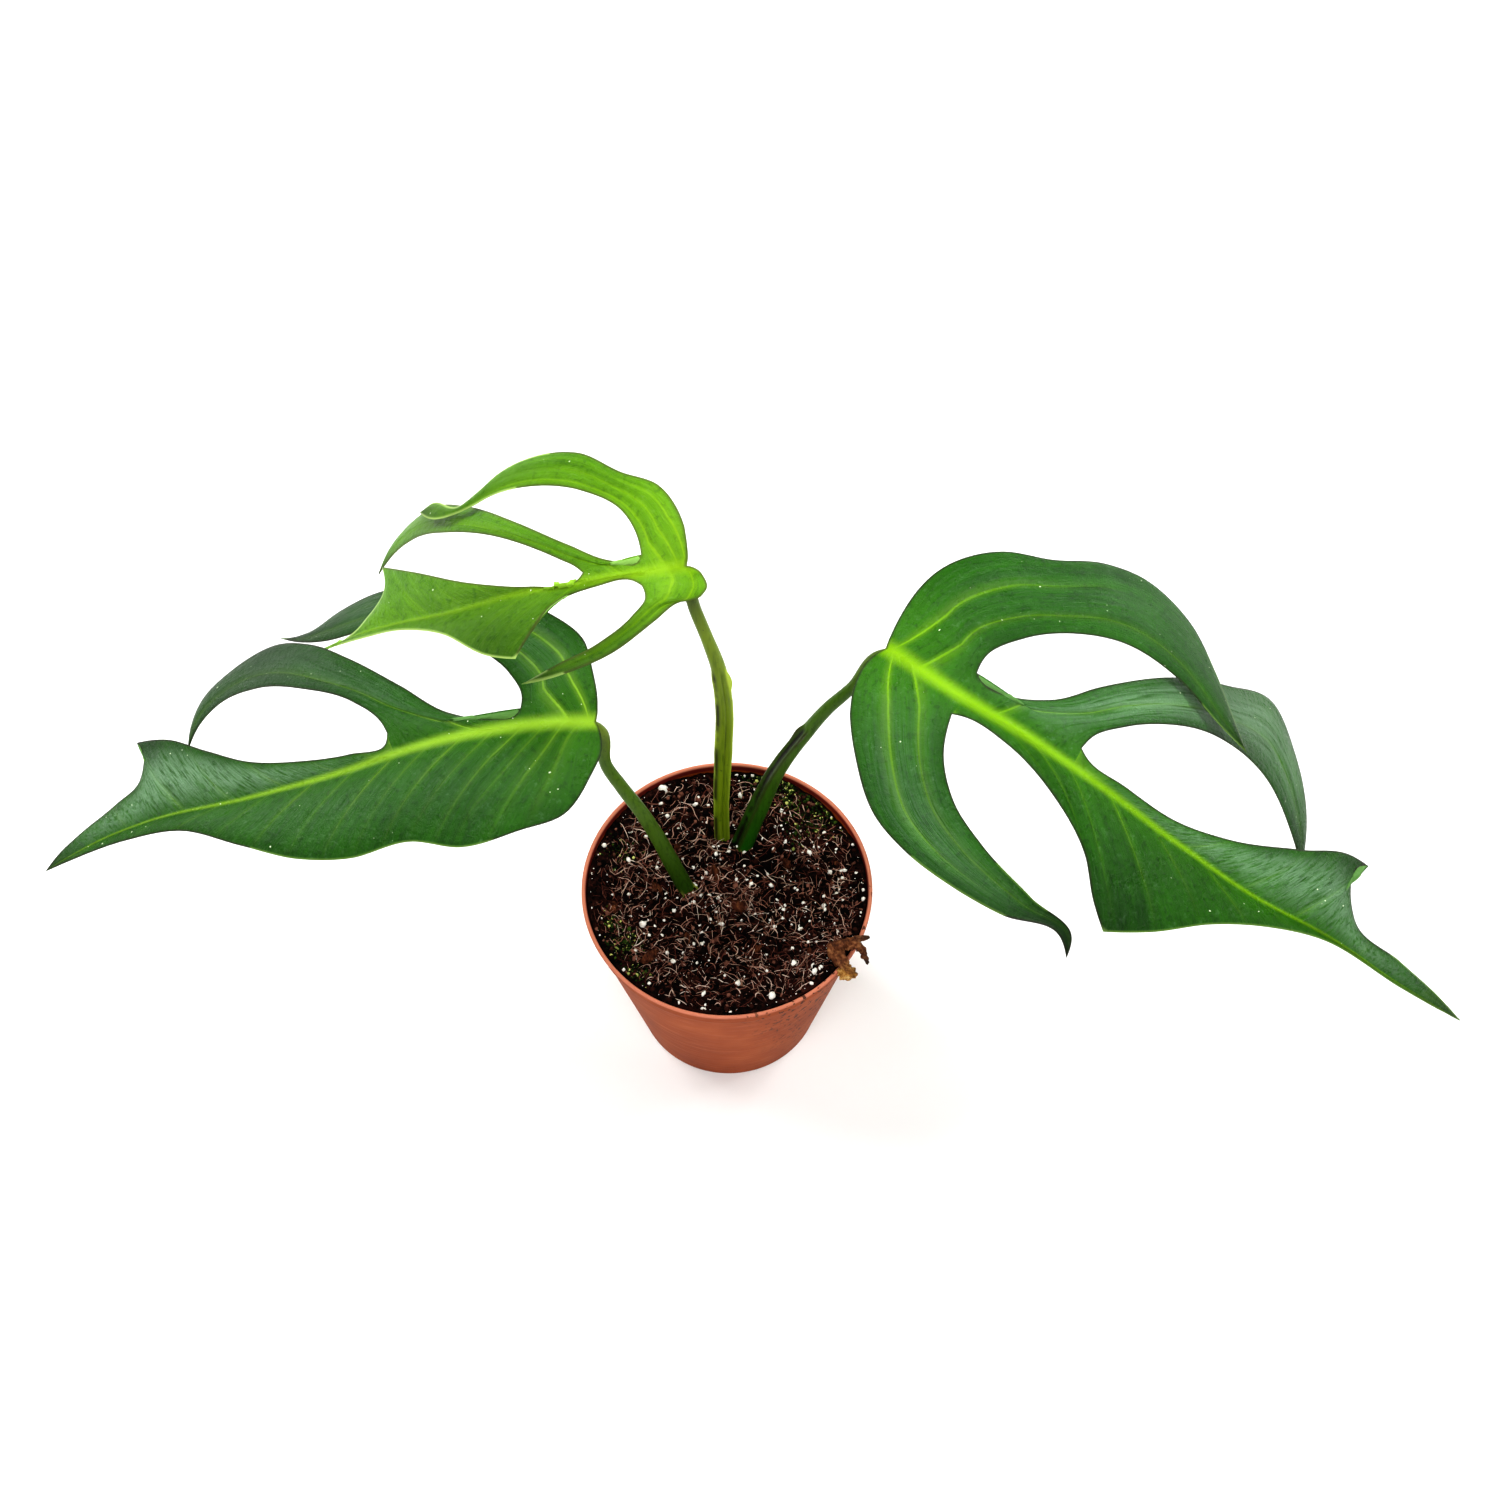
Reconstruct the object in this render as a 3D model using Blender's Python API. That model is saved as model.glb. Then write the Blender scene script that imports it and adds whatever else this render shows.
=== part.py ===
"""A young monstera in a small nursery pot: three split leaves on arching stalks, potting mix and pot.

Metres, +Z up. The origin is the middle of the pot's underside. Outlines and places are written in
millimetres and turned into metres where the meshes are made.
"""

import math

import bmesh
import bpy
import numpy as np
from mathutils import Vector, noise

MM = 0.001
GAP = 0.3                     # clearance between neighbouring pieces
PER_SPAN = 16                 # points of a smooth line between two of its given points

# The pot: a thin moulded cone with a short collar and a rolled lip.
POT_RIM_DIAMETER = 105.0
POT_BASE_DIAMETER = 70.0
POT_HEIGHT = 88.0
POT_WALL = 1.2
POT_FLOOR = 1.5
COLLAR_HEIGHT = 8.5
COLLAR_STEP = 1.2
COLLAR_DRAFT = 0.3
LIP_HEIGHT = 1.5
LIP_WIDTH = 2.2
LIP_ROUNDING = 0.4
BASE_ROUNDING = 1.0
POT_SEGMENTS = 64
DRAIN_HOLES = 6
DRAIN_HOLE_DIAMETER = 7.0
DRAIN_CIRCLE_RADIUS = 24.0

# The potting mix: mounded a little towards the front, -Y.
SOIL_LEVEL = 83.2
SOIL_SLOPE = -0.035
SOIL_RINGS = 9

# The stalks stand in sockets in the mix, this far below the first point of their routes.
STALK_DEPTH = 8.0
STALK_SIDES = 12
STALK_RINGS = 22

# The leaf blades.
BLADE_THICKNESS = 1.0
STATION_STEP = 7.0
LOBE_ROWS = 11
WEB_ROWS = 3
BASE_LEAD = 0.15              # share of a lobe's outer margin that lies beside the web
FURROW_DEPTH = 3.0
FURROW_WIDTH = 8.0

# Each blade is drawn flat: x along the line from the stalk to the tip, y across it, in millimetres.
# "base" and "tip" are its ends in space, and "up" is the side that faces the sky. A lobe has a foot
# on the midrib from one x to another, and an outer and an inner margin that meet in its tip. A wing
# is the undivided part of one side, whose margin runs from a foot to the blade's tip; its knee is
# the point numbered "knee", which is fed from the midrib at "knee_x".
LEAVES = {
    "right": {
        "base": (53, 36, 185), "tip": (256, -52, 85), "up": (0.31, -0.31, 0.90),
        "arch": 26.0, "fall": 0.0030,
        "midrib": [(0, 0), (24, -5), (51, -8), (79, -11), (110, -14), (142, -14), (175, -9),
                   (212, -5), (243, 0)],
        "lobes": [
            {"foot": (0, 28), "droop": 10.0,
             "outer": [(0, 0), (-1, 13), (4, 36), (20, 54), (36, 61), (55, 73), (70, 77), (91, 71),
                       (105, 58), (116, 46), (126, 36)],
             "inner": [(28, 4), (28, 10), (37, 24), (52, 36), (71, 44), (91, 44), (113, 38),
                       (126, 36)]},
            {"foot": (28, 68), "droop": 40.0,
             "outer": [(28, 4), (33, 1), (41, 2), (53, 8), (67, 23), (94, 48), (115, 62), (141, 75),
                       (156, 63), (170, 45), (177, 27)],
             "inner": [(68, -3), (69, 1), (79, 13), (91, 23), (116, 37), (145, 41), (166, 33),
                       (177, 27)]},
            {"foot": (0, 28), "droop": 24.0,
             "outer": [(0, 0), (-4, -11), (-3, -20), (0, -27), (8, -39), (23, -53), (37, -58),
                       (55, -60), (75, -59), (97, -54), (103, -58)],
             "inner": [(27, -13), (28, -19), (30, -25), (41, -38), (56, -45), (80, -50), (101, -53),
                       (103, -58)]},
        ],
        "wings": [
            {"foot": 68, "knee": 7, "knee_x": 165, "sharp": True,
             "margin": [(68, -3), (71, -5), (86, -7), (106, -8), (126, -3), (152, 10), (172, 21),
                        (180, 22), (175, 17), (177, 8), (182, 2), (207, 1), (227, 1), (243, 0)]},
            {"foot": 28, "knee": 6, "knee_x": 72, "sharp": True,
             "margin": [(27, -13), (31, -12), (46, -14), (67, -23), (84, -35), (93, -46),
                        (101, -53), (115, -45), (132, -32), (153, -20), (175, -11), (212, -6),
                        (243, 0)]},
        ],
    },
    "left": {
        "base": (-43, 20, 165), "tip": (-244, 2, 95), "up": (-0.29, -0.30, 0.91),
        "arch": 22.0, "fall": 0.0035,
        "midrib": [(0, 0), (20, -2), (63, -1), (81, 1), (119, 1), (162, -3), (186, -3), (214, 0)],
        "lobes": [
            {"foot": (0, 21), "droop": 20.0,
             "outer": [(0, 0), (-2, -7), (-2, -18), (0, -30), (11, -43), (23, -52), (41, -62),
                       (61, -68), (77, -70), (90, -68), (103, -64), (119, -68)],
             "inner": [(22, -8), (21, -12), (24, -21), (33, -32), (48, -44), (63, -52), (78, -54),
                       (95, -56), (119, -68)]},
            {"foot": (21, 65), "droop": 22.0,
             "outer": [(22, -8), (24, -6), (31, -6), (45, -11), (61, -25), (81, -42), (98, -54),
                       (114, -60), (135, -57), (149, -50), (157, -32)],
             "inner": [(66, -8), (67, -11), (78, -23), (97, -34), (120, -43), (140, -44),
                       (151, -39), (157, -32)]},
        ],
        "wings": [
            {"foot": 65, "knee": 7, "knee_x": 150, "sharp": True,
             "margin": [(66, -8), (67, -5), (80, -4), (98, -6), (117, -11), (134, -20), (152, -30),
                        (165, -33), (162, -28), (164, -18), (176, -13), (194, -8), (206, -4),
                        (214, 0)]},
            {"foot": 0, "knee": 5, "knee_x": 28, "sharp": False,
             "margin": [(0, 0), (-1, 9), (4, 19), (14, 30), (29, 33), (48, 35), (64, 30), (85, 31),
                        (103, 27), (124, 17), (148, 5), (173, 1), (201, 0), (214, 0)]},
        ],
    },
    "middle": {
        "base": (-11, 32, 235), "tip": (-142, 60, 150), "up": (-0.56, -0.29, 0.77),
        "arch": 20.0, "fall": 0.0045,
        "midrib": [(0, 0), (16, 2), (35, 3), (56, 4), (81, 5), (106, 3), (131, 1), (159, 0)],
        "lobes": [
            {"foot": (0, 11), "droop": 2.0,
             "outer": [(0, 0), (1, -16), (8, -27), (20, -33), (37, -43), (49, -45), (66, -42),
                       (75, -36), (81, -33), (99, -38), (103, -36)],
             "inner": [(12, -4), (13, -10), (18, -19), (32, -28), (51, -33), (68, -33), (76, -31),
                       (85, -30), (94, -31), (103, -36)]},
            {"foot": (11, 29), "droop": 14.0,
             "outer": [(12, -4), (13, -2), (21, -3), (35, -10), (55, -21), (82, -34), (106, -41),
                       (123, -39), (134, -34), (140, -26)],
             "inner": [(30, 0), (32, -2), (37, -5), (59, -16), (89, -26), (113, -31), (129, -30),
                       (140, -26)]},
            {"foot": (0, 11), "droop": 14.0,
             "outer": [(0, 0), (-6, 4), (-8, 9), (-6, 11), (2, 12), (9, 17), (23, 25), (41, 29),
                       (62, 29)],
             "inner": [(12, 6), (11, 10), (15, 15), (27, 22), (44, 26), (62, 29)]},
        ],
        "wings": [
            {"foot": 29, "knee": 5, "knee_x": 100, "sharp": True,
             "margin": [(30, 0), (32, 2), (48, 2), (68, -2), (97, -12), (117, -19), (114, -11),
                        (129, -2), (141, 0), (159, 0)]},
            {"foot": 11, "knee": 5, "knee_x": 36, "sharp": True,
             "margin": [(12, 6), (15, 4), (26, 5), (40, 10), (47, 18), (53, 25), (62, 23), (83, 12),
                        (105, 6), (131, 3), (159, 0)]},
        ],
    },
}

# Each stalk's centreline from where it leaves the mix to just under its blade, and its diameters.
STALKS = {
    "right": {
        "route": [(5, 20, 80), (12, 24, 105), (19, 26, 128), (27, 29, 143), (35, 31, 157),
                  (43, 33, 167), (50, 36, 179)],
        "diameters": [8.0, 7.2, 5.8, 5.0, 4.4, 4.0, 4.2],
    },
    "middle": {
        "route": [(-2, 24, 80), (-2, 25, 106), (-1, 27, 137), (-0.5, 28, 166), (-2, 29, 183),
                  (-5.5, 30, 199), (-9, 31, 213), (-12, 32, 227)],
        "diameters": [5.6, 5.6, 6.3, 6.0, 5.0, 4.2, 4.0, 4.0],
    },
    "left": {
        "route": [(-14, 1, 80), (-20, 5, 97), (-25, 8, 111), (-30, 10, 124), (-36, 13, 135),
                  (-41, 16, 145), (-42, 20, 159)],
        "diameters": [6.4, 6.0, 5.4, 5.0, 4.6, 4.2, 4.2],
    },
}

# A dry husk that hooks over the rim at the front right: centreline and thickness.
HUSK_ROUTE = [(43.6, -35.8, 86.4), (42.6, -34.8, 88.6), (40.6, -32.4, 90.4), (38.6, -27.4, 89.6),
              (42.0, -24.6, 90.4), (46.0, -23.4, 90.6), (50.6, -22.0, 90.0)]
HUSK_DIAMETERS = [2.6, 3.0, 3.0, 3.4, 3.0, 2.6, 1.2]
HUSK_RINGS = 20
HUSK_SIDES = 10

# Loose bits on the mix: (x, y) places, with sizes.
PERLITE = [(-30, -14, 3.8), (-19, -29, 3.0), (4, -38, 3.6), (24, -30, 3.2), (35, -6, 3.0),
           (30, 16, 3.4), (-2, -14, 3.2), (-36, 12, 3.0), (16, 2, 2.8), (-12, 36, 3.2),
           (-8, -42, 2.8), (20, 34, 3.0)]
BARK = [(-26, 2, 7.0, 20.0), (10, -24, 6.0, 75.0), (22, 12, 6.5, 140.0), (-14, -20, 5.5, 110.0)]
BARK_THICKNESS = 1.8
ROOT_FIBRES = [
    [(-8, -30), (-2, -27), (6, -30), (14, -33)],
    [(26, -20), (31, -15), (34, -18), (40, -14)],
    [(-38, -10), (-33, -6), (-30, 4), (-33, 8)],
]
ROOT_DIAMETER = 1.0
ROOT_RINGS = 14
ROOT_SIDES = 8


def material(name, colour, roughness):
    """A plain Principled material."""
    made = bpy.data.materials.new(name)
    made.use_nodes = True
    shader = made.node_tree.nodes["Principled BSDF"]
    shader.inputs["Base Color"].default_value = (*colour, 1.0)
    shader.inputs["Roughness"].default_value = roughness
    return made


def add_object(name, mesh_bm, finish, smooth_angle=None):
    """Puts a bmesh, drawn in millimetres, into the scene as one named object in metres."""
    mesh = bpy.data.meshes.new(name)
    bmesh.ops.scale(mesh_bm, vec=(MM, MM, MM), verts=mesh_bm.verts)
    mesh_bm.to_mesh(mesh)
    mesh_bm.free()
    if smooth_angle is not None:
        mesh.shade_smooth()
        mesh.set_sharp_from_angle(angle=math.radians(smooth_angle))
    mesh.materials.append(finish)
    made = bpy.data.objects.new(name, mesh)
    bpy.context.scene.collection.objects.link(made)
    return made


def as_cutter(cutter, target):
    """Cuts one object out of another and keeps the cutter as a hidden guide."""
    cutter.hide_render = True
    cutter.display_type = "WIRE"
    cut = target.modifiers.new("cut_" + cutter.name, "BOOLEAN")
    cut.operation = "DIFFERENCE"
    cut.solver = "EXACT"
    cut.object = cutter


# Curves through points

def smooth_line(points):
    """A dense smooth line through points: cubic spans whose slopes are averaged by chord length."""
    p = np.array(points, float)
    chord = np.linalg.norm(np.diff(p, axis=0), axis=1)
    slope = np.diff(p, axis=0) / chord[:, None]
    weight = (chord[1:] / (chord[:-1] + chord[1:]))[:, None]
    inner = slope[:-1] * weight + slope[1:] * (1 - weight)
    tangent = np.vstack([2 * slope[:1] - inner[:1], inner, 2 * slope[-1:] - inner[-1:]])
    u = (np.arange(PER_SPAN) / PER_SPAN)[None, :, None]
    a, b = p[:-1, None, :], p[1:, None, :]
    ta = tangent[:-1, None, :] * chord[:, None, None]
    tb = tangent[1:, None, :] * chord[:, None, None]
    span = (a * (2 * u**3 - 3 * u**2 + 1) + b * (3 * u**2 - 2 * u**3)
            + ta * (u**3 - 2 * u**2 + u) + tb * (u**3 - u**2))
    return np.vstack([span.reshape(-1, p.shape[1]), p[-1:]])


def arc_fractions(line):
    """How far along a dense line each of its points lies, from 0 to 1."""
    steps = np.linalg.norm(np.diff(line, axis=0), axis=1)
    travelled = np.concatenate([[0.0], np.cumsum(steps)])
    return travelled / travelled[-1]


def points_along(line, fractions):
    """Points of a dense line at the given shares of its length."""
    at = arc_fractions(line)
    return np.column_stack([np.interp(fractions, at, line[:, k]) for k in range(line.shape[1])])


# The pot

def wall_radius(z, inside):
    """The radius of the pot's conical wall at a height."""
    collar_foot = POT_HEIGHT - COLLAR_HEIGHT
    top = POT_RIM_DIAMETER / 2 - LIP_WIDTH + POT_WALL - COLLAR_STEP
    outer = POT_BASE_DIAMETER / 2 + (top - POT_BASE_DIAMETER / 2) * z / collar_foot
    return outer - POT_WALL if inside else outer


def pot_profile():
    """The pot's half section, from the middle of its underside out, up and back down inside."""
    foot_z = POT_HEIGHT - COLLAR_HEIGHT
    lip_r = POT_RIM_DIAMETER / 2
    inner_lip_r = lip_r - LIP_WIDTH
    collar_r = inner_lip_r + POT_WALL
    return [
        (0, 0),
        (POT_BASE_DIAMETER / 2 - BASE_ROUNDING, 0),
        (wall_radius(BASE_ROUNDING, False), BASE_ROUNDING),
        (wall_radius(foot_z, False), foot_z),
        (collar_r - COLLAR_DRAFT, foot_z + COLLAR_STEP),
        (collar_r, POT_HEIGHT - LIP_HEIGHT),
        (lip_r, POT_HEIGHT - LIP_HEIGHT + LIP_ROUNDING),
        (lip_r, POT_HEIGHT - LIP_ROUNDING),
        (lip_r - LIP_ROUNDING, POT_HEIGHT),
        (inner_lip_r, POT_HEIGHT),
        (inner_lip_r - COLLAR_DRAFT, foot_z + 1.5 * COLLAR_STEP),
        (wall_radius(foot_z, True), foot_z + 0.5 * COLLAR_STEP),
        (wall_radius(POT_FLOOR + BASE_ROUNDING, True), POT_FLOOR + BASE_ROUNDING),
        (wall_radius(POT_FLOOR, True) - BASE_ROUNDING, POT_FLOOR),
        (0, POT_FLOOR),
    ]


def turned(profile, segments):
    """Spins a half section about the Z axis into a closed solid."""
    bm = bmesh.new()
    rail = [bm.verts.new((r, 0, z)) for r, z in profile]
    edges = [bm.edges.new(pair) for pair in zip(rail, rail[1:])]
    bmesh.ops.spin(bm, geom=rail + edges, cent=(0, 0, 0), axis=(0, 0, 1), steps=segments,
                   angle=2 * math.pi, use_merge=True)
    bmesh.ops.remove_doubles(bm, verts=bm.verts, dist=0.001)
    bmesh.ops.recalc_face_normals(bm, faces=bm.faces)
    return bm


def build_pot():
    finish = material("terracotta_plastic", (0.48, 0.10, 0.035), 0.55)
    pot = add_object("pot", turned(pot_profile(), POT_SEGMENTS), finish, smooth_angle=35)
    drill = bmesh.new()
    for k in range(DRAIN_HOLES):
        angle = 2 * math.pi * (k + 0.5) / DRAIN_HOLES
        made = bmesh.ops.create_cone(
            drill, cap_ends=True, segments=16, radius1=DRAIN_HOLE_DIAMETER / 2,
            radius2=DRAIN_HOLE_DIAMETER / 2, depth=8 * POT_FLOOR)
        bmesh.ops.translate(drill, verts=made["verts"], vec=(
            DRAIN_CIRCLE_RADIUS * math.cos(angle), DRAIN_CIRCLE_RADIUS * math.sin(angle), 0))
    as_cutter(add_object("drain_drill", drill, finish), pot)
    return pot


# The potting mix

def soil_height(x, y):
    """The uneven top of the mix at a place."""
    ripple = 0.5 * np.sin(x / 9 + 1) * np.cos(y / 11) + 0.35 * np.sin(x / 6 + y / 8)
    return SOIL_LEVEL + SOIL_SLOPE * y + ripple


def build_soil(stalk_routes):
    """A cone of mix that fills the pot, with a socket for each stalk."""
    angle = 2 * np.pi * np.arange(POT_SEGMENTS) / POT_SEGMENTS
    round_x, round_y = np.cos(angle), np.sin(angle)
    floor_z = POT_FLOOR + GAP
    floor_r = wall_radius(POT_FLOOR, True) - BASE_ROUNDING - GAP
    side_z = floor_z + 1.5 * BASE_ROUNDING
    side_r = wall_radius(side_z, True) - GAP
    rings = [(round_x * floor_r, round_y * floor_r, np.full(POT_SEGMENTS, floor_z)),
             (round_x * side_r, round_y * side_r, np.full(POT_SEGMENTS, side_z))]
    top_r = wall_radius(POT_HEIGHT - COLLAR_HEIGHT, True) - GAP
    for share in np.linspace(1, 0, SOIL_RINGS, endpoint=False):
        x, y = round_x * top_r * share, round_y * top_r * share
        rings.append((x, y, soil_height(x, y)))
    bm = bmesh.new()
    loops = [[bm.verts.new(p) for p in zip(*ring)] for ring in rings]
    for low, high in zip(loops, loops[1:]):
        for k in range(POT_SEGMENTS):
            n = (k + 1) % POT_SEGMENTS
            bm.faces.new((low[k], low[n], high[n], high[k]))
    crown = bm.verts.new((0, 0, soil_height(0, 0)))
    for k in range(POT_SEGMENTS):
        bm.faces.new((loops[-1][k], loops[-1][(k + 1) % POT_SEGMENTS], crown))
    bm.faces.new(list(reversed(loops[0])))
    bmesh.ops.recalc_face_normals(bm, faces=bm.faces)
    soil = add_object("potting_mix", bm, material("potting_mix", (0.035, 0.018, 0.012), 0.95))
    for name, (route, diameters) in stalk_routes.items():
        below = route[0] - (route[1] - route[0]) / np.linalg.norm(route[1] - route[0])
        socket = tube(np.vstack([below, route]), np.concatenate([diameters[:1], diameters]) + 2 * GAP)
        as_cutter(add_object("socket_" + name, socket, soil.data.materials[0]), soil)
    return soil


# Round stalks, roots and husk

def tube(line, diameters, sides=STALK_SIDES):
    """A closed round tube along a line, its rings carried without twist."""
    line = np.array(line, float)
    ahead = np.gradient(line, axis=0)
    ahead /= np.linalg.norm(ahead, axis=1)[:, None]
    bm = bmesh.new()
    side = Vector(ahead[0]).orthogonal().normalized()
    turn = 2 * np.pi * np.arange(sides) / sides
    loops = []
    for centre, direction, diameter in zip(line, ahead, diameters):
        direction = Vector(direction)
        side = (side - direction * side.dot(direction)).normalized()
        other = direction.cross(side)
        loops.append([bm.verts.new(Vector(centre) + (side * math.cos(a) + other * math.sin(a)) * diameter / 2)
                      for a in turn])
    for low, high in zip(loops, loops[1:]):
        for k in range(sides):
            n = (k + 1) % sides
            bm.faces.new((low[k], low[n], high[n], high[k]))
    bm.faces.new(list(reversed(loops[0])))
    bm.faces.new(loops[-1])
    return bm


def tapered_route(route, diameters, count):
    """A smooth route with evenly spaced points, and its diameter at each."""
    line = smooth_line(route)
    knots = arc_fractions(line)[::PER_SPAN]
    share = np.linspace(0, 1, count)
    return points_along(line, share), np.interp(share, knots, diameters)


def build_stalks():
    finish = material("stalk_green", (0.09, 0.19, 0.03), 0.5)
    routes = {}
    for name, stalk in STALKS.items():
        line, diameters = tapered_route(stalk["route"], stalk["diameters"], STALK_RINGS)
        start = (line[1] - line[0]) / np.linalg.norm(line[1] - line[0])
        line = np.vstack([line[0] - start * STALK_DEPTH, line])
        diameters = np.concatenate([diameters[:1], diameters])
        routes[name] = (line, diameters)
        add_object("stalk_" + name, tube(line, diameters), finish, smooth_angle=40)
    return routes


# The leaf blades

class Blade:
    """One leaf blade: its flat outline, its rise and fall, and its place in space."""

    def __init__(self, leaf):
        self.leaf = leaf
        self.base = np.array(leaf["base"], float)
        chord = np.array(leaf["tip"], float) - self.base
        self.length = np.linalg.norm(chord)
        self.along = chord / self.length
        up = np.array(leaf["up"], float)
        up -= (up @ self.along) * self.along
        self.up = up / np.linalg.norm(up)
        self.across = np.cross(self.up, self.along)
        self.rib = smooth_line(leaf["midrib"])
        feet = {0.0, float(leaf["midrib"][-1][0])}
        for lobe in leaf["lobes"]:
            feet.update(float(x) for x in lobe["foot"])
        for wing in leaf["wings"]:
            feet.update((float(wing["foot"]), float(wing["knee_x"])))
        feet = sorted(feet)
        runs = [np.linspace(a, b, max(2, round((b - a) / STATION_STEP) + 1))[:-1]
                for a, b in zip(feet, feet[1:])]
        self.stations = np.concatenate(runs + [[feet[-1]]])

    def rib_at(self, x):
        """Points of the midrib at the given x."""
        x = np.asarray(x, float)
        return np.stack([x, np.interp(x, self.rib[:, 0], self.rib[:, 1])], axis=-1)

    def height(self, flat, droop):
        """Rise over the chord: an arch along the blade, a fall to both sides of a soft furrow."""
        t = np.clip(flat[..., 0] / self.length, 0, 1)
        off = flat[..., 1] - self.rib_at(flat[..., 0])[..., 1]
        arch = self.leaf["arch"] * np.sin(np.pi * t**0.85)
        furrow = FURROW_DEPTH * (1 - np.exp(-np.abs(off) / FURROW_WIDTH))
        return arch + furrow - self.leaf["fall"] * off**2 - droop

    def place(self, flat, droop):
        """Flat points and their droop to points in space."""
        z = self.height(flat, droop)
        return (self.base + flat[..., :1] * self.along + flat[..., 1:] * self.across
                + z[..., None] * self.up)

    def web(self, foot, sinus):
        """The line from the midrib out to the inner end of a split."""
        share = (np.arange(WEB_ROWS + 1) / WEB_ROWS)[:, None]
        return self.rib_at(foot) * (1 - share) + np.array(sinus, float) * share

    def lobe(self, lobe):
        """A finger of the blade: rows from its foot on the midrib to its tip, ruled across."""
        first, last = lobe["foot"]
        out = np.arange(1, LOBE_ROWS + 1) / LOBE_ROWS
        outer = smooth_line(lobe["outer"])
        if first == 0:
            lead = BASE_LEAD * np.arange(WEB_ROWS + 1) / WEB_ROWS
            left = points_along(outer, np.concatenate([lead, BASE_LEAD + (1 - BASE_LEAD) * out]))
        else:
            left = np.vstack([self.web(first, lobe["outer"][0]), points_along(outer, out)])
        right = np.vstack([self.web(last, lobe["inner"][0]),
                           points_along(smooth_line(lobe["inner"]), out)])
        foot = self.rib_at(self.stations[(self.stations >= first) & (self.stations <= last)])
        share = np.linspace(0, 1, len(foot))[None, :, None]
        flat = left[:, None, :] * (1 - share) + right[:, None, :] * share
        bend = foot - flat[0]
        fade = np.clip(1 - np.arange(len(flat)) / WEB_ROWS, 0, 1)[:, None, None]
        flat = flat + bend[None] * fade
        droop = lobe["droop"] * np.concatenate([np.zeros(WEB_ROWS + 1), out**1.5])
        return self.place(flat, droop[:, None])

    def wing(self, wing):
        """The undivided side: ruled from the midrib to its margin."""
        stations = self.stations[self.stations >= wing["foot"]]
        knee = wing["knee"]
        points = wing["margin"]
        if wing["sharp"]:
            line = np.vstack([smooth_line(points[:knee + 1]), smooth_line(points[knee:])[1:]])
        else:
            line = smooth_line(points)
        knee_share = arc_fractions(line)[knee * PER_SPAN]
        shares = np.interp(stations, [wing["foot"], wing["knee_x"], stations[-1]], [0, knee_share, 1])
        margin = points_along(line, shares)
        out = (np.arange(WEB_ROWS + 1) / WEB_ROWS)[None, :, None]
        flat = self.rib_at(stations)[:, None, :] * (1 - out) + margin[:, None, :] * out
        return self.place(flat, 0.0)


def build_blades():
    finish = material("leaf_green", (0.05, 0.16, 0.02), 0.35)
    young = material("young_leaf_green", (0.13, 0.36, 0.04), 0.4)
    for name, leaf in LEAVES.items():
        blade = Blade(leaf)
        bm = bmesh.new()
        patches = [blade.lobe(lobe) for lobe in leaf["lobes"]] + [blade.wing(w) for w in leaf["wings"]]
        for patch in patches:
            rows = [[bm.verts.new(p) for p in row] for row in patch]
            for low, high in zip(rows, rows[1:]):
                for k in range(len(low) - 1):
                    bm.faces.new((low[k], low[k + 1], high[k + 1], high[k]))
        bmesh.ops.remove_doubles(bm, verts=bm.verts, dist=0.01)
        bmesh.ops.recalc_face_normals(bm, faces=bm.faces)
        made = add_object("leaf_" + name, bm, young if name == "middle" else finish, smooth_angle=60)
        skin = made.modifiers.new("thickness", "SOLIDIFY")
        skin.thickness = BLADE_THICKNESS * MM
        skin.offset = 0


# Loose bits on the mix

def highest_under(x, y, reach):
    """The highest point of the mix under a small piece."""
    angle = np.linspace(0, 2 * np.pi, 12, endpoint=False)
    around = soil_height(x + reach * np.cos(angle), y + reach * np.sin(angle))
    return max(float(around.max()), float(soil_height(x, y)))


def build_perlite():
    finish = material("perlite", (0.82, 0.80, 0.76), 0.9)
    for number, (x, y, size) in enumerate(PERLITE, start=1):
        bm = bmesh.new()
        bmesh.ops.create_icosphere(bm, subdivisions=2, radius=size / 2)
        for vert in bm.verts:
            lump = noise.noise(vert.co * (1.1 / size) + Vector((3.7 * number, 0, 0)))
            vert.co *= 0.92 + 0.3 * lump
            vert.co.z *= 0.75
        lowest = min(vert.co.z for vert in bm.verts)
        rest = highest_under(x, y, size / 2) + 2 * GAP - lowest
        bmesh.ops.translate(bm, verts=bm.verts, vec=(x, y, rest))
        add_object(f"perlite_{number:02d}", bm, finish, smooth_angle=60)


def build_bark():
    finish = material("bark", (0.20, 0.085, 0.035), 0.9)
    for number, (x, y, size, turn) in enumerate(BARK, start=1):
        outline = [(0.5, 0.05), (0.3, 0.27), (-0.12, 0.3), (-0.48, 0.16), (-0.5, -0.12), (-0.1, -0.28),
                   (0.34, -0.24)]
        c, s = math.cos(math.radians(turn)), math.sin(math.radians(turn))
        low = highest_under(x, y, size / 2) + 2 * GAP
        bm = bmesh.new()
        under = [bm.verts.new((x + size * (u * c - v * s), y + size * (u * s + v * c), low))
                 for u, v in outline]
        face = bm.faces.new(under)
        grown = bmesh.ops.extrude_face_region(bm, geom=[face])
        raised = [item for item in grown["geom"] if isinstance(item, bmesh.types.BMVert)]
        bmesh.ops.translate(bm, verts=raised, vec=(0, 0, BARK_THICKNESS))
        bmesh.ops.recalc_face_normals(bm, faces=bm.faces)
        bmesh.ops.bevel(bm, geom=list(bm.edges), offset=0.3, segments=1, affect="EDGES")
        add_object(f"bark_chip_{number}", bm, finish)


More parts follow.
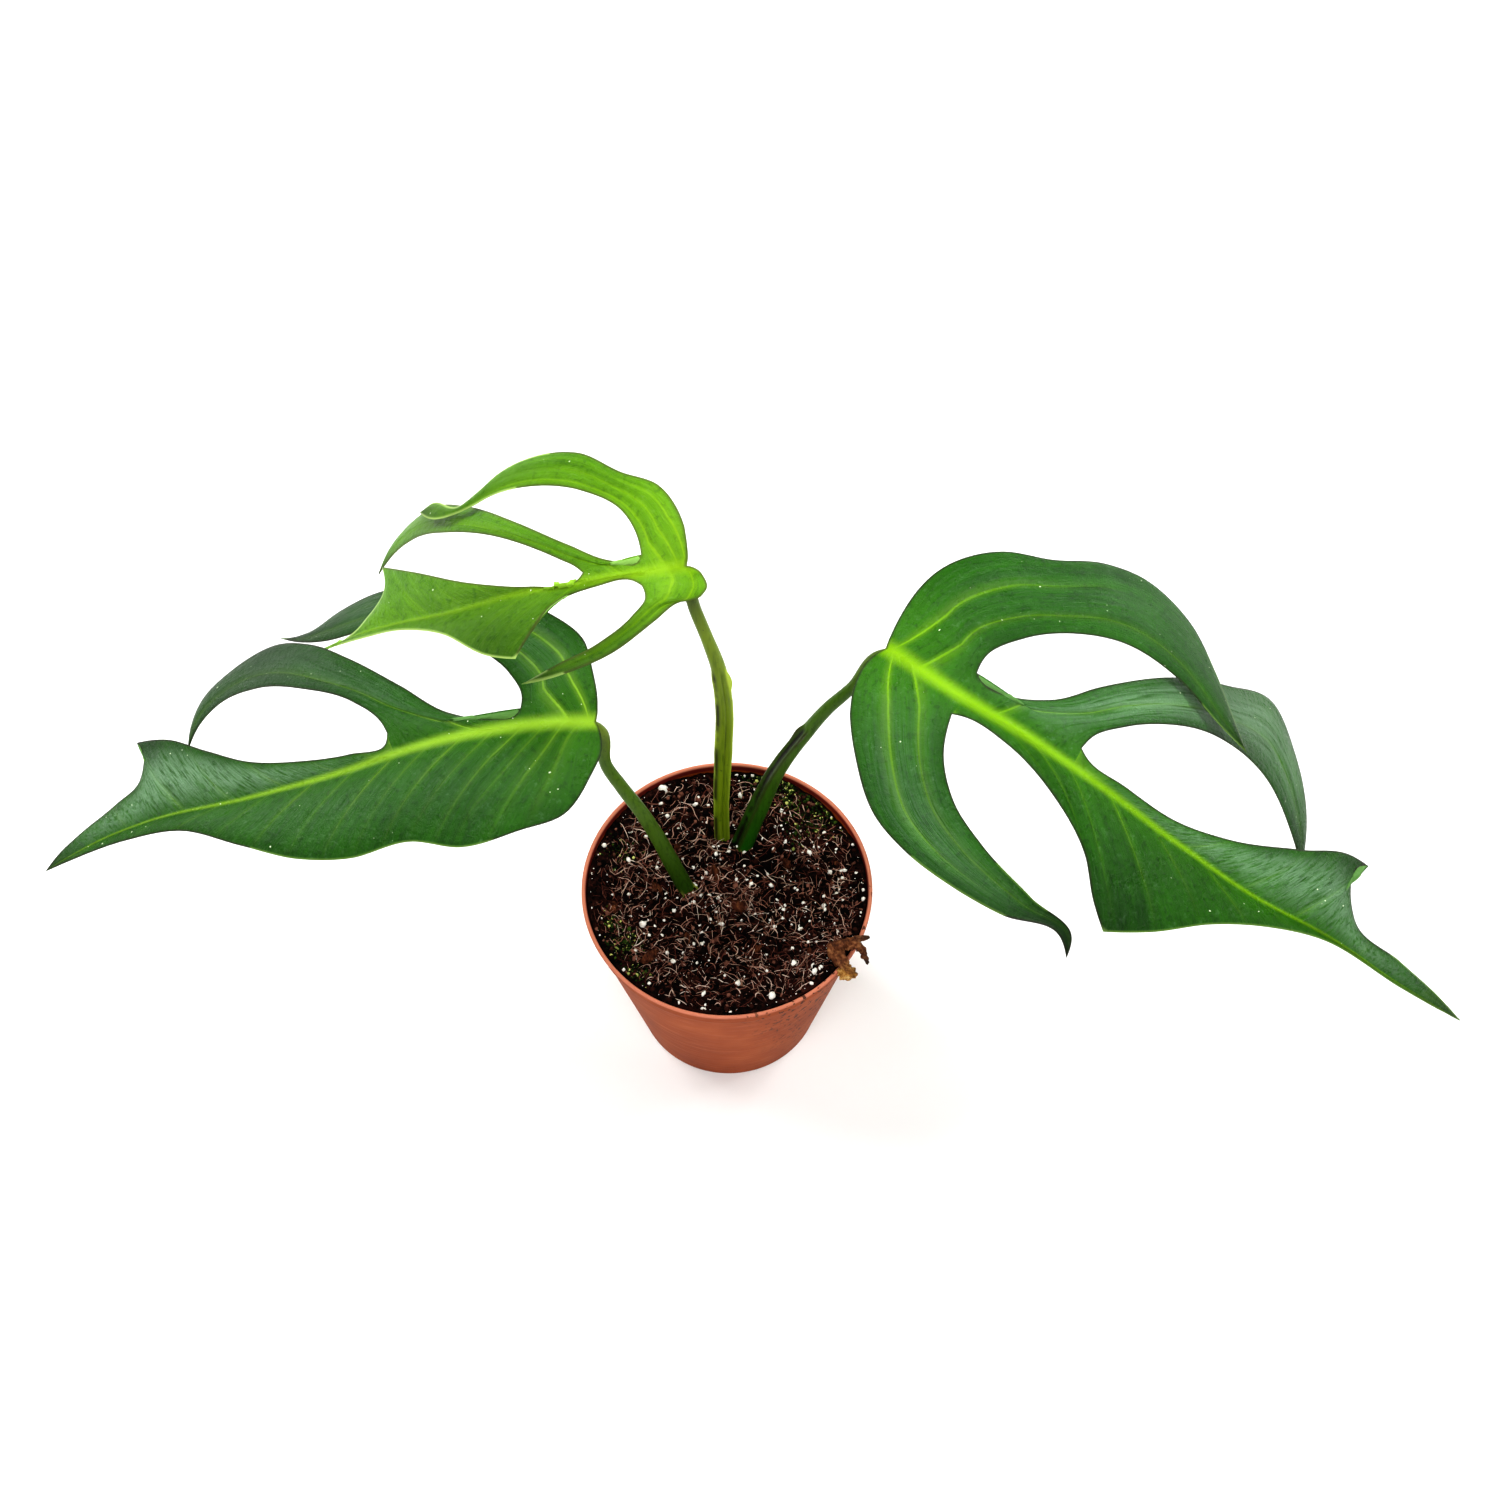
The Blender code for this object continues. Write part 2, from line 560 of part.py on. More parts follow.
def build_root_fibres():
    finish = material("dry_root", (0.42, 0.27, 0.19), 0.85)
    for number, places in enumerate(ROOT_FIBRES, start=1):
        line = points_along(smooth_line(places), np.linspace(0, 1, ROOT_RINGS))
        under = [highest_under(x, y, 1.5) for x, y in line]
        heights = np.array(under) + ROOT_DIAMETER / 2 + 2 * GAP
        taper = np.linspace(1.0, 0.6, len(line)) * ROOT_DIAMETER
        fibre = tube(np.column_stack([line, heights]), taper, sides=ROOT_SIDES)
        add_object(f"root_fibre_{number}", fibre, finish, smooth_angle=60)


def build_husk():
    finish = material("husk", (0.30, 0.17, 0.06), 0.85)
    line, diameters = tapered_route(HUSK_ROUTE, HUSK_DIAMETERS, HUSK_RINGS)
    add_object("husk", tube(line, diameters, sides=HUSK_SIDES), finish, smooth_angle=50)


def main():
    for thing in list(bpy.data.objects):
        bpy.data.objects.remove(thing)
    build_pot()
    routes = build_stalks()
    build_soil(routes)
    build_blades()
    build_husk()
    build_perlite()
    build_bark()
    build_root_fibres()


main()
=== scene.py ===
# %% [markdown]
# # A young split-leaf plant in its nursery pot
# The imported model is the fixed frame: every piece made here lies where its solid lies.
# All shapes are worked out in millimetres and become metres when a mesh is made.

# %% Load the frame
import math
import bmesh
import bpy
import numpy as np
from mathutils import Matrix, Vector


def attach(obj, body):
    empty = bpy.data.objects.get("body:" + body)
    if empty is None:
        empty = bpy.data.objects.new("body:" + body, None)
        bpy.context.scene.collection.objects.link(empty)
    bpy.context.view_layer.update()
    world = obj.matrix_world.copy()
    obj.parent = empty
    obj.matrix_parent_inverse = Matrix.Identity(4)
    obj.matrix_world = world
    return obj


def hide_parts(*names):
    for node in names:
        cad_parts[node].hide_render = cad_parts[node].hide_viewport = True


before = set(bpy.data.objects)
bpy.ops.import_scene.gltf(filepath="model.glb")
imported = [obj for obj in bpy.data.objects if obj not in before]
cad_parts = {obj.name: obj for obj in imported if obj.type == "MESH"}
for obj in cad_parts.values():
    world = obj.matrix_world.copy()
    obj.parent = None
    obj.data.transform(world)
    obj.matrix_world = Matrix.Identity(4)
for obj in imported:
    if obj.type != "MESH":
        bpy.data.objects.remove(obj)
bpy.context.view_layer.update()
MM = 0.001

# %% [markdown]
# ## Mesh helpers
# A surface is a grid of points, so its faces are the grid's cells. One function turns points and
# faces into a piece that rides on the one body and stands for its solids. Numbers stored at the
# points, such as the distance from a vein, travel as attributes.

# %% Grids and pieces


def grid_faces(rows, columns, around=False):
    """The cells of a grid of points numbered row by row; around joins the last column to the first."""
    cells = columns if around else columns - 1
    row, column = np.meshgrid(np.arange(rows - 1), np.arange(cells), indexing="ij")
    here, there = row * columns + column, row * columns + (column + 1) % columns
    return np.stack([here, there, there + columns, here + columns], axis=-1).reshape(-1, 4)


def make_mesh(name, points, faces, values=None):
    """A mesh from points in millimetres, faces, and named numbers that are stored at the points."""
    mesh = bpy.data.meshes.new(name)
    mesh.from_pydata((np.asarray(points) * MM).tolist(), [], faces)
    for label, numbers in (values or {}).items():
        stored = mesh.attributes.new(label, "FLOAT", "POINT")
        stored.data.foreach_set("value", np.asarray(numbers, np.float32).ravel())
    mesh.shade_smooth()
    return mesh


def make_piece(mesh, finish, stands_for=(), crease=None):
    """Shows a mesh as a piece of the plant, in its finish, in place of the solids it stands for."""
    mesh.materials.append(finish)
    if crease is not None:
        mesh.set_sharp_from_angle(angle=math.radians(crease))
    piece = bpy.data.objects.new(mesh.name, mesh)
    bpy.context.scene.collection.objects.link(piece)
    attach(piece, "root")
    if stands_for:
        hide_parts(*stands_for)
    mesh.calc_loop_triangles()
    print(f"{mesh.name}: {len(mesh.loop_triangles)} triangles")
    return piece


# %% [markdown]
# ## Smooth lines
# Margins, stalks and roots are drawn by a few points. A smooth line goes through all of them, and
# points are then read from it at even shares of its length.

# %% Lines through points
PER_SPAN = 24


def smooth_line(points):
    """A dense line through points: cubic spans whose slopes are averaged by chord length."""
    p = np.array(points, float)
    chord = np.linalg.norm(np.diff(p, axis=0), axis=1)
    slope = np.diff(p, axis=0) / chord[:, None]
    weight = (chord[1:] / (chord[:-1] + chord[1:]))[:, None]
    inner = slope[:-1] * weight + slope[1:] * (1 - weight)
    tangent = np.vstack([2 * slope[:1] - inner[:1], inner, 2 * slope[-1:] - inner[-1:]])
    u = (np.arange(PER_SPAN) / PER_SPAN)[None, :, None]
    a, b = p[:-1, None, :], p[1:, None, :]
    ta = tangent[:-1, None, :] * chord[:, None, None]
    tb = tangent[1:, None, :] * chord[:, None, None]
    span = (a * (2 * u**3 - 3 * u**2 + 1) + b * (3 * u**2 - 2 * u**3)
            + ta * (u**3 - 2 * u**2 + u) + tb * (u**3 - u**2))
    return np.vstack([span.reshape(-1, p.shape[1]), p[-1:]])


def length_shares(line):
    """How far along a line each of its points lies, from 0 to 1."""
    travelled = np.concatenate([[0.0], np.cumsum(np.linalg.norm(np.diff(line, axis=0), axis=1))])
    return travelled / travelled[-1]


def read_line(line, shares):
    """Points of a dense line at the given shares of its length."""
    at = length_shares(line)
    return np.stack([np.interp(shares, at, line[:, k]) for k in range(line.shape[1])], axis=-1)


def nearest_on_line(points, line):
    """For each flat point, its distance from a line and the share of the line that is nearest."""
    start, step = line[:-1], np.diff(line, axis=0)
    reach = np.maximum((step**2).sum(axis=1), 1e-12)
    t = np.clip(((points[:, None] - start) * step).sum(axis=2) / reach, 0, 1)
    gap = np.linalg.norm(points[:, None] - start - t[..., None] * step, axis=2)
    best = gap.argmin(axis=1)
    rows = np.arange(len(points))
    shares = length_shares(line)
    return gap[rows, best], shares[best] + t[rows, best] * (shares[best + 1] - shares[best])


def hump(x, width):
    """A smooth hump of height 1 around 0."""
    return np.exp(-(x / width) ** 2)


def cloud(x, y, cell, seed):
    """Smooth random relief from 0 to 1: a table of random heights, eased between its cells."""
    table = np.random.default_rng(seed).random((64, 64))
    fx, fy = np.asarray(x) / cell + 32.0, np.asarray(y) / cell + 32.0
    ix, iy = np.floor(fx).astype(int), np.floor(fy).astype(int)
    ax, ay = fx - ix, fy - iy
    ax, ay = ax * ax * (3 - 2 * ax), ay * ay * (3 - 2 * ay)
    low = table[ix % 64, iy % 64] * (1 - ax) + table[(ix + 1) % 64, iy % 64] * ax
    high = table[ix % 64, (iy + 1) % 64] * (1 - ax) + table[(ix + 1) % 64, (iy + 1) % 64] * ax
    return low * (1 - ay) + high * ay


# %% [markdown]
# ## Material helpers
# Each finish is a Principled shader with a handful of nodes. These helpers keep the recipes short:
# a noise, a ramp of colours, a mix of two colours, a sum, and a bump.

# %% Shader nodes in a few words


class Finish:
    """A Principled material under construction."""

    def __init__(self, name, roughness=0.5, specular=0.5):
        self.material = bpy.data.materials.new(name)
        self.material.use_nodes = True
        self.nodes, self.links = self.material.node_tree.nodes, self.material.node_tree.links
        self.shader = self.nodes["Principled BSDF"]
        self.shader.inputs["Roughness"].default_value = roughness
        self.shader.inputs["Specular IOR Level"].default_value = specular
        self.place = self.nodes.new("ShaderNodeTexCoord").outputs["Object"]

    def feed(self, socket, source):
        """Connects a source, or sets a plain value."""
        if isinstance(source, bpy.types.NodeSocket):
            self.links.new(source, socket)
        else:
            socket.default_value = source

    def stored(self, label):
        """The number stored at the points under that label."""
        node = self.nodes.new("ShaderNodeAttribute")
        node.attribute_name = label
        return node.outputs["Fac"]

    def math(self, operation, a, b=0.0, clamp=False):
        """One sum on two values."""
        node = self.nodes.new("ShaderNodeMath")
        node.operation, node.use_clamp = operation, clamp
        self.feed(node.inputs[0], a)
        self.feed(node.inputs[1], b)
        return node.outputs[0]

    def noise(self, scale, detail=3.0, rough=0.55, where=None, distortion=0.0):
        """Fractal noise from 0 to 1; scale counts its cells in a metre."""
        node = self.nodes.new("ShaderNodeTexNoise")
        node.inputs["Scale"].default_value = scale
        node.inputs["Detail"].default_value = detail
        node.inputs["Roughness"].default_value = rough
        node.inputs["Distortion"].default_value = distortion
        self.links.new(self.place if where is None else where, node.inputs["Vector"])
        return node.outputs["Fac"]

    def stretched(self, scale_by, where=None):
        """The place, stretched by a factor along each axis."""
        node = self.nodes.new("ShaderNodeMapping")
        node.inputs["Scale"].default_value = scale_by
        self.links.new(self.place if where is None else where, node.inputs["Vector"])
        return node.outputs["Vector"]

    def ramp(self, value, *stops):
        """Colours at positions along a value from 0 to 1."""
        node = self.nodes.new("ShaderNodeValToRGB")
        while len(node.color_ramp.elements) < len(stops):
            node.color_ramp.elements.new(1.0)
        for element, (position, colour) in zip(node.color_ramp.elements, stops):
            element.position = position
            element.color = colour if len(colour) == 4 else (*colour, 1.0)
        self.links.new(value, node.inputs["Fac"])
        return node.outputs["Color"]

    def level(self, value, low, high):
        """0 below low, 1 above high, eased between."""
        node = self.nodes.new("ShaderNodeMapRange")
        node.interpolation_type = "SMOOTHSTEP"
        node.inputs["From Min"].default_value = low
        node.inputs["From Max"].default_value = high
        self.links.new(value, node.inputs["Value"])
        return node.outputs["Result"]

    def mix(self, share, a, b, blend="MIX"):
        """Colour a where the share is 0, colour b where it is 1."""
        node = self.nodes.new("ShaderNodeMix")
        node.data_type, node.blend_type = "RGBA", blend
        for socket, source in ((node.inputs[0], share), (node.inputs[6], a), (node.inputs[7], b)):
            if isinstance(source, tuple) and len(source) == 3:
                source = (*source, 1.0)
            self.feed(socket, source)
        return node.outputs[2]

    def bump(self, height, distance, strength=1.0):
        """Fine relief in the shading, with its depth in metres."""
        node = self.nodes.new("ShaderNodeBump")
        node.inputs["Distance"].default_value = distance
        node.inputs["Strength"].default_value = strength
        self.links.new(height, node.inputs["Height"])
        self.links.new(node.outputs["Normal"], self.shader.inputs["Normal"])

    def colour(self, source):
        """Sets the base colour."""
        self.feed(self.shader.inputs["Base Color"], source)

    def rough(self, source):
        """Sets the roughness."""
        self.feed(self.shader.inputs["Roughness"], source)


def shade(red, green, blue):
    """A screen colour, 0 to 255, as the linear light that a shader works with."""
    c = np.array([red, green, blue]) / 255.0
    return tuple(float(v) for v in np.where(c <= 0.04045, c / 12.92, ((c + 0.055) / 1.055) ** 2.4))


# %% [markdown]
# ## The leaf blades: outlines
# A blade is drawn flat, x along the line from stalk to tip and y across. Long windows split it
# into lobes that stay joined near the midrib, and the rest of each side is a wing. Every lobe has
# an outer and an inner margin that meet in its tip. The same outlines gave the solid blades.
#
# A lobe's veins are curves too: each is given by its share of the way across the lobe at the
# foot, at a quarter, past the middle and at the tip, and then by how far along it reaches.

# %% The right leaf, in whole millimetres
# A lobe's or wing's sheen number lays a painted sheen, a pale grey-green, into the colour where the blade
# tilts back towards the light behind. Its pale span is the stretch of margin painted pale as a highlight;
# the rest of the margin is painted dark as shade. A dark reach, where a lobe has one, stretches the
# darkening of its tip as painted shade.
RIGHT_LEAF = {
    "base": (53, 36, 185), "tip": (256, -52, 85), "up": (0.31, -0.31, 0.90),
    "arch": 26.0, "fall": 0.0030, "rib": 3.0,
    "midrib": [(0, 0), (24, -5), (51, -8), (79, -11), (110, -14), (142, -14), (175, -9),
               (212, -5), (243, 0)],
    "lobes": [
        {"foot": (0, 28), "droop": 10.0, "pale": (0.80, 1.0), "painted_sheen": 0.15,
         "veins": [(0.04, 0.42, 0.33, 0.20, 0.60), (0.40, 0.73, 0.77, 0.72, 1.0)],
         "outer": [(0, 0), (-1, 13), (4, 36), (20, 54), (36, 61), (55, 73), (70, 77), (91, 71),
                   (105, 58), (116, 46), (126, 36)],
         "inner": [(28, 4), (28, 10), (37, 24), (52, 36), (71, 44), (91, 44), (113, 38),
                   (126, 36)]},
        {"foot": (28, 68), "droop": 40.0, "pale": (2.0, 3.0), "painted_sheen": 1.0,
         "veins": [(0.25, 0.46, 0.58, 0.52, 1.0)],
         "outer": [(28, 4), (33, 1), (41, 2), (53, 8), (67, 23), (94, 48), (115, 62), (141, 75),
                   (156, 63), (170, 45), (177, 27)],
         "inner": [(68, -3), (69, 1), (79, 13), (91, 23), (116, 37), (145, 41), (166, 33),
                   (177, 27)]},
        {"foot": (0, 28), "droop": 24.0, "pale": (0.55, 0.80), "painted_sheen": 0.4,
         "veins": [(0.10, 0.40, 0.36, 0.40, 0.75), (0.30, 0.70, 0.68, 0.62, 1.0)],
         "outer": [(0, 0), (-4, -11), (-3, -20), (0, -27), (8, -39), (23, -53), (37, -58),
                   (55, -60), (75, -59), (97, -54), (103, -58)],
         "inner": [(27, -13), (28, -19), (30, -25), (41, -38), (56, -45), (80, -50), (101, -53),
                   (103, -58)]},
    ],
    "wings": [
        {"foot": 68, "knee": 7, "knee_x": 165, "sharp": True, "pale": (0.8, 1.0), "painted_sheen": 1.0,
         "veins": [88, 112, 138, 160, 190],
         "margin": [(68, -3), (71, -5), (86, -7), (106, -8), (126, -3), (152, 10), (172, 21),
                    (180, 22), (175, 17), (177, 8), (182, 2), (207, 1), (227, 1), (243, 0)]},
        {"foot": 28, "knee": 6, "knee_x": 72, "sharp": True, "pale": (0.36, 1.0), "bow": 16.0,
         "veins": [40, 52, 66, 82, 100, 120, 142, 166, 195],
         "margin": [(27, -13), (31, -12), (46, -14), (67, -23), (84, -35), (93, -46),
                    (101, -53), (115, -45), (132, -32), (153, -20), (175, -11), (212, -6),
                    (243, 0)]},
    ],
}

# %% [markdown]
# The left leaf hangs the other way: its split side is turned up and to the back, and its lower side
# is one wide wing with a wavy margin.

# %% The left leaf
LEFT_LEAF = {
    "base": (-43, 20, 165), "tip": (-244, 2, 95), "up": (-0.29, -0.30, 0.91),
    "arch": 22.0, "fall": 0.0035, "rib": 2.8,
    "midrib": [(0, 0), (20, -2), (63, -1), (81, 1), (119, 1), (162, -3), (186, -3), (214, 0)],
    "lobes": [
        # This lobe lies in shade under the young leaf; its long dark reach is painted shade.
        {"foot": (0, 21), "droop": 20.0, "pale": (0.96, 1.0), "dark": 75.0, "painted_sheen": 0.6,
         "veins": [(0.10, 0.36, 0.36, 0.40, 0.8), (0.35, 0.68, 0.66, 0.62, 1.0)],
         "outer": [(0, 0), (-2, -7), (-2, -18), (0, -30), (11, -43), (23, -52), (41, -62),
                   (61, -68), (77, -70), (90, -68), (103, -64), (119, -68)],
         "inner": [(22, -8), (21, -12), (24, -21), (33, -32), (48, -44), (63, -52), (78, -54),
                   (95, -56), (119, -68)]},
        {"foot": (21, 65), "droop": 22.0, "pale": (2.0, 3.0), "painted_sheen": 0.4,
         "veins": [(0.30, 0.58, 0.68, 0.60, 1.0)],
         "outer": [(22, -8), (24, -6), (31, -6), (45, -11), (61, -25), (81, -42), (98, -54),
                   (114, -60), (135, -57), (149, -50), (157, -32)],
         "inner": [(66, -8), (67, -11), (78, -23), (97, -34), (120, -43), (140, -44),
                   (151, -39), (157, -32)]},
    ],
    "wings": [
        {"foot": 65, "knee": 7, "knee_x": 150, "sharp": True, "pale": (2.0, 3.0), "painted_sheen": 1.4,
         "veins": [84, 104, 126, 146, 172],
         "margin": [(66, -8), (67, -5), (80, -4), (98, -6), (117, -11), (134, -20), (152, -30),
                    (165, -33), (162, -28), (164, -18), (176, -13), (194, -8), (206, -4),
                    (214, 0)]},
        {"foot": 0, "knee": 5, "knee_x": 28, "sharp": False, "pale": (0.25, 0.6), "painted_sheen": 0.3,
         "bow": 26.0,
         "veins": [4, 9, 15, 22, 31, 41, 52, 64, 78, 93, 110, 130, 152],
         "margin": [(0, 0), (-1, 9), (4, 19), (14, 30), (29, 33), (48, 35), (64, 30), (85, 31),
                    (103, 27), (124, 17), (148, 5), (173, 1), (201, 0), (214, 0)]},
    ],
}

# %% [markdown]
# The middle leaf is the youngest and smallest. Its first lobe folds over at the end.

# %% The middle leaf, and all three by name
MIDDLE_LEAF = {
    "base": (-11, 32, 235), "tip": (-142, 60, 150), "up": (-0.56, -0.29, 0.77),
    "arch": 20.0, "fall": 0.0045, "rib": 2.4,
    "midrib": [(0, 0), (16, 2), (35, 3), (56, 4), (81, 5), (106, 3), (131, 1), (159, 0)],
    "lobes": [
        {"foot": (0, 11), "droop": 2.0, "pale": (0.55, 1.0),
         "veins": [(0.03, 0.26, 0.25, 0.35, 0.50), (0.18, 0.52, 0.48, 0.50, 0.75),
                  (0.45, 0.80, 0.82, 0.80, 0.95)],
         "outer": [(0, 0), (1, -16), (8, -27), (20, -33), (37, -43), (49, -45), (66, -42),
                   (75, -36), (81, -33), (99, -38), (103, -36)],
         "inner": [(12, -4), (13, -10), (18, -19), (32, -28), (51, -33), (68, -33), (76, -31),
                   (85, -30), (94, -31), (103, -36)]},
        {"foot": (11, 29), "droop": 14.0, "pale": (2.0, 3.0),
         "veins": [(0.35, 0.60, 0.70, 0.62, 1.0)],
         "outer": [(12, -4), (13, -2), (21, -3), (35, -10), (55, -21), (82, -34), (106, -41),
                   (123, -39), (134, -34), (140, -26)],
         "inner": [(30, 0), (32, -2), (37, -5), (59, -16), (89, -26), (113, -31), (129, -30),
                   (140, -26)]},
        # This lobe lies in shade; its dark reach is painted shade.
        {"foot": (0, 11), "droop": 14.0, "pale": (0.78, 1.0), "dark": 60.0,
         "veins": [(0.15, 0.30, 0.32, 0.45, 0.55), (0.45, 0.60, 0.62, 0.55, 0.9)],
         "outer": [(0, 0), (-6, 4), (-8, 9), (-6, 11), (2, 12), (9, 17), (23, 25), (41, 29),
                   (62, 29)],
         "inner": [(12, 6), (11, 10), (15, 15), (27, 22), (44, 26), (62, 29)]},
    ],
    "wings": [
        {"foot": 29, "knee": 5, "knee_x": 100, "sharp": True, "pale": (0.62, 1.0),
         "veins": [42, 56, 72, 90],
         "margin": [(30, 0), (32, 2), (48, 2), (68, -2), (97, -12), (117, -19), (114, -11),
                    (129, -2), (141, 0), (159, 0)]},
        {"foot": 11, "knee": 5, "knee_x": 36, "sharp": True, "pale": (0.30, 1.0), "bow": 16.0,
         "veins": [22, 30, 38, 48, 60, 74, 90, 110],
         "margin": [(12, 6), (15, 4), (26, 5), (40, 10), (47, 18), (53, 25), (62, 23), (83, 12),
                    (105, 6), (131, 3), (159, 0)]},
    ],
}

LEAVES = {"right": RIGHT_LEAF, "left": LEFT_LEAF, "middle": MIDDLE_LEAF}
print("outlines of", ", ".join(LEAVES), "blades")

# %% [markdown]
# ## The leaf blades: surface
# Each lobe is a grid whose rows run from its foot on the midrib to its tip, ruled across from one
# margin to the other. Each wing is a grid ruled from the midrib out to the margin. The flat grids
# are then raised: an arch along the blade, a fall to both sides of a soft furrow, a droop that
# grows towards each lobe's tip, a fold along each vein and a little swelling between veins.
# Neighbouring grids share their border points, so they weld into one sheet.

# %% Blade sizes
STATION_STEP = 0.85
LOBE_ROWS = 104
WEB_ROWS = 24
BASE_LEAD = 0.15
FURROW_DEPTH, FURROW_WIDTH = 3.0, 8.0
WING_BOW = 9.0
VEIN_FOLD, PLEAT_SWELL = 0.55, 0.55
FOLD_WIDTH = 1.3
LOBE_RUN, WING_RUN = 110.0, 70.0
print("lobe rows", LOBE_ROWS, "with", WEB_ROWS, "rows of web")

# %% [markdown]
# Side veins are counted across a grid: the count passes a half at each vein, so the finish can draw
# every vein as the same thin line, whatever the grid's spacing. A lobe's veins run along it to its
# tip. A wing's veins leave the midrib one after another and bow away from its foot.

# %% Veins across a grid


def lobe_veins(lobe, across, reach, width):
    """Folds, swelling and vein lines of a lobe: a hump of height 1 along each vein, less of it
    where the vein fades, and between two veins a swelling that dies away beside both."""
    places, strengths = [], []
    for *stops, ends in lobe["veins"]:
        bent = smooth_line(list(zip((0, 0.25, 0.6, 1), stops)))
        places.append(np.interp(reach, bent[:, 0], bent[:, 1]))
        strengths.append(np.clip((ends - reach) / 0.3, 0, 1) if ends < 1 else 1 - 0.7 * reach)
    shape = (len(reach), across.shape[1])
    folds, swell = np.zeros(shape), np.ones(shape)
    for place, strength in zip(places, strengths):
        beside = (across - place) * width
        folds = np.maximum(folds, hump(beside, FOLD_WIDTH) * strength)
        swell = swell * (1 - np.exp(-np.abs(beside) / 6.0) * strength)
    borders = [0 * reach] + [(a + b) / 2 for a, b in zip(places, places[1:])] + [0 * reach + 1]
    count, strength = np.zeros(shape), np.zeros(shape)
    for number, place in enumerate(places):
        low, high = borders[number], borders[number + 1]
        here = (across >= low) & (across <= high)
        before = 0.5 * (across - low) / np.maximum(place - low, 0.01)
        after = 0.5 + 0.5 * (across - place) / np.maximum(high - place, 0.01)
        count = np.where(here, number + np.where(across < place, before, after), count)
        strength = np.where(here, strengths[number], strength)
    return folds, swell * np.sin(np.pi * across), (count, width / len(places), strength, reach * LOBE_RUN)


def wing_veins(wing, stations, out):
    """Folds, swelling and vein lines of a wing: strong and weak veins take turns, each fading on
    its way out."""
    bow = wing.get("bow", WING_BOW)
    place = stations[:, None] - bow * out * (1 - 0.4 * out)
    marks = np.array([wing["veins"][0] - 5 - bow] + wing["veins"] + [wing["veins"][-1] + 30], float)
    count = np.interp(place, marks, np.arange(len(marks)) + 0.5)
    gap = np.interp(place, (marks[1:] + marks[:-1]) / 2, np.diff(marks))
    strength = (0.62 - 0.25 * (np.floor(count) % 2)) * (1 - out) ** 0.8
    beside = (count - np.floor(count) - 0.5) * gap
    folds = hump(beside, 0.7 * FOLD_WIDTH) * strength * 0.6
    swell = (1 - hump(beside, 2.5) * strength) * np.sin(np.pi * out)
    return folds, swell, (count, gap, strength, out * WING_RUN)


# %% [markdown]
# The grids of a blade and the rule that raises them are one class, because they share the midrib
# and the stations along it.

# %% Blade grids


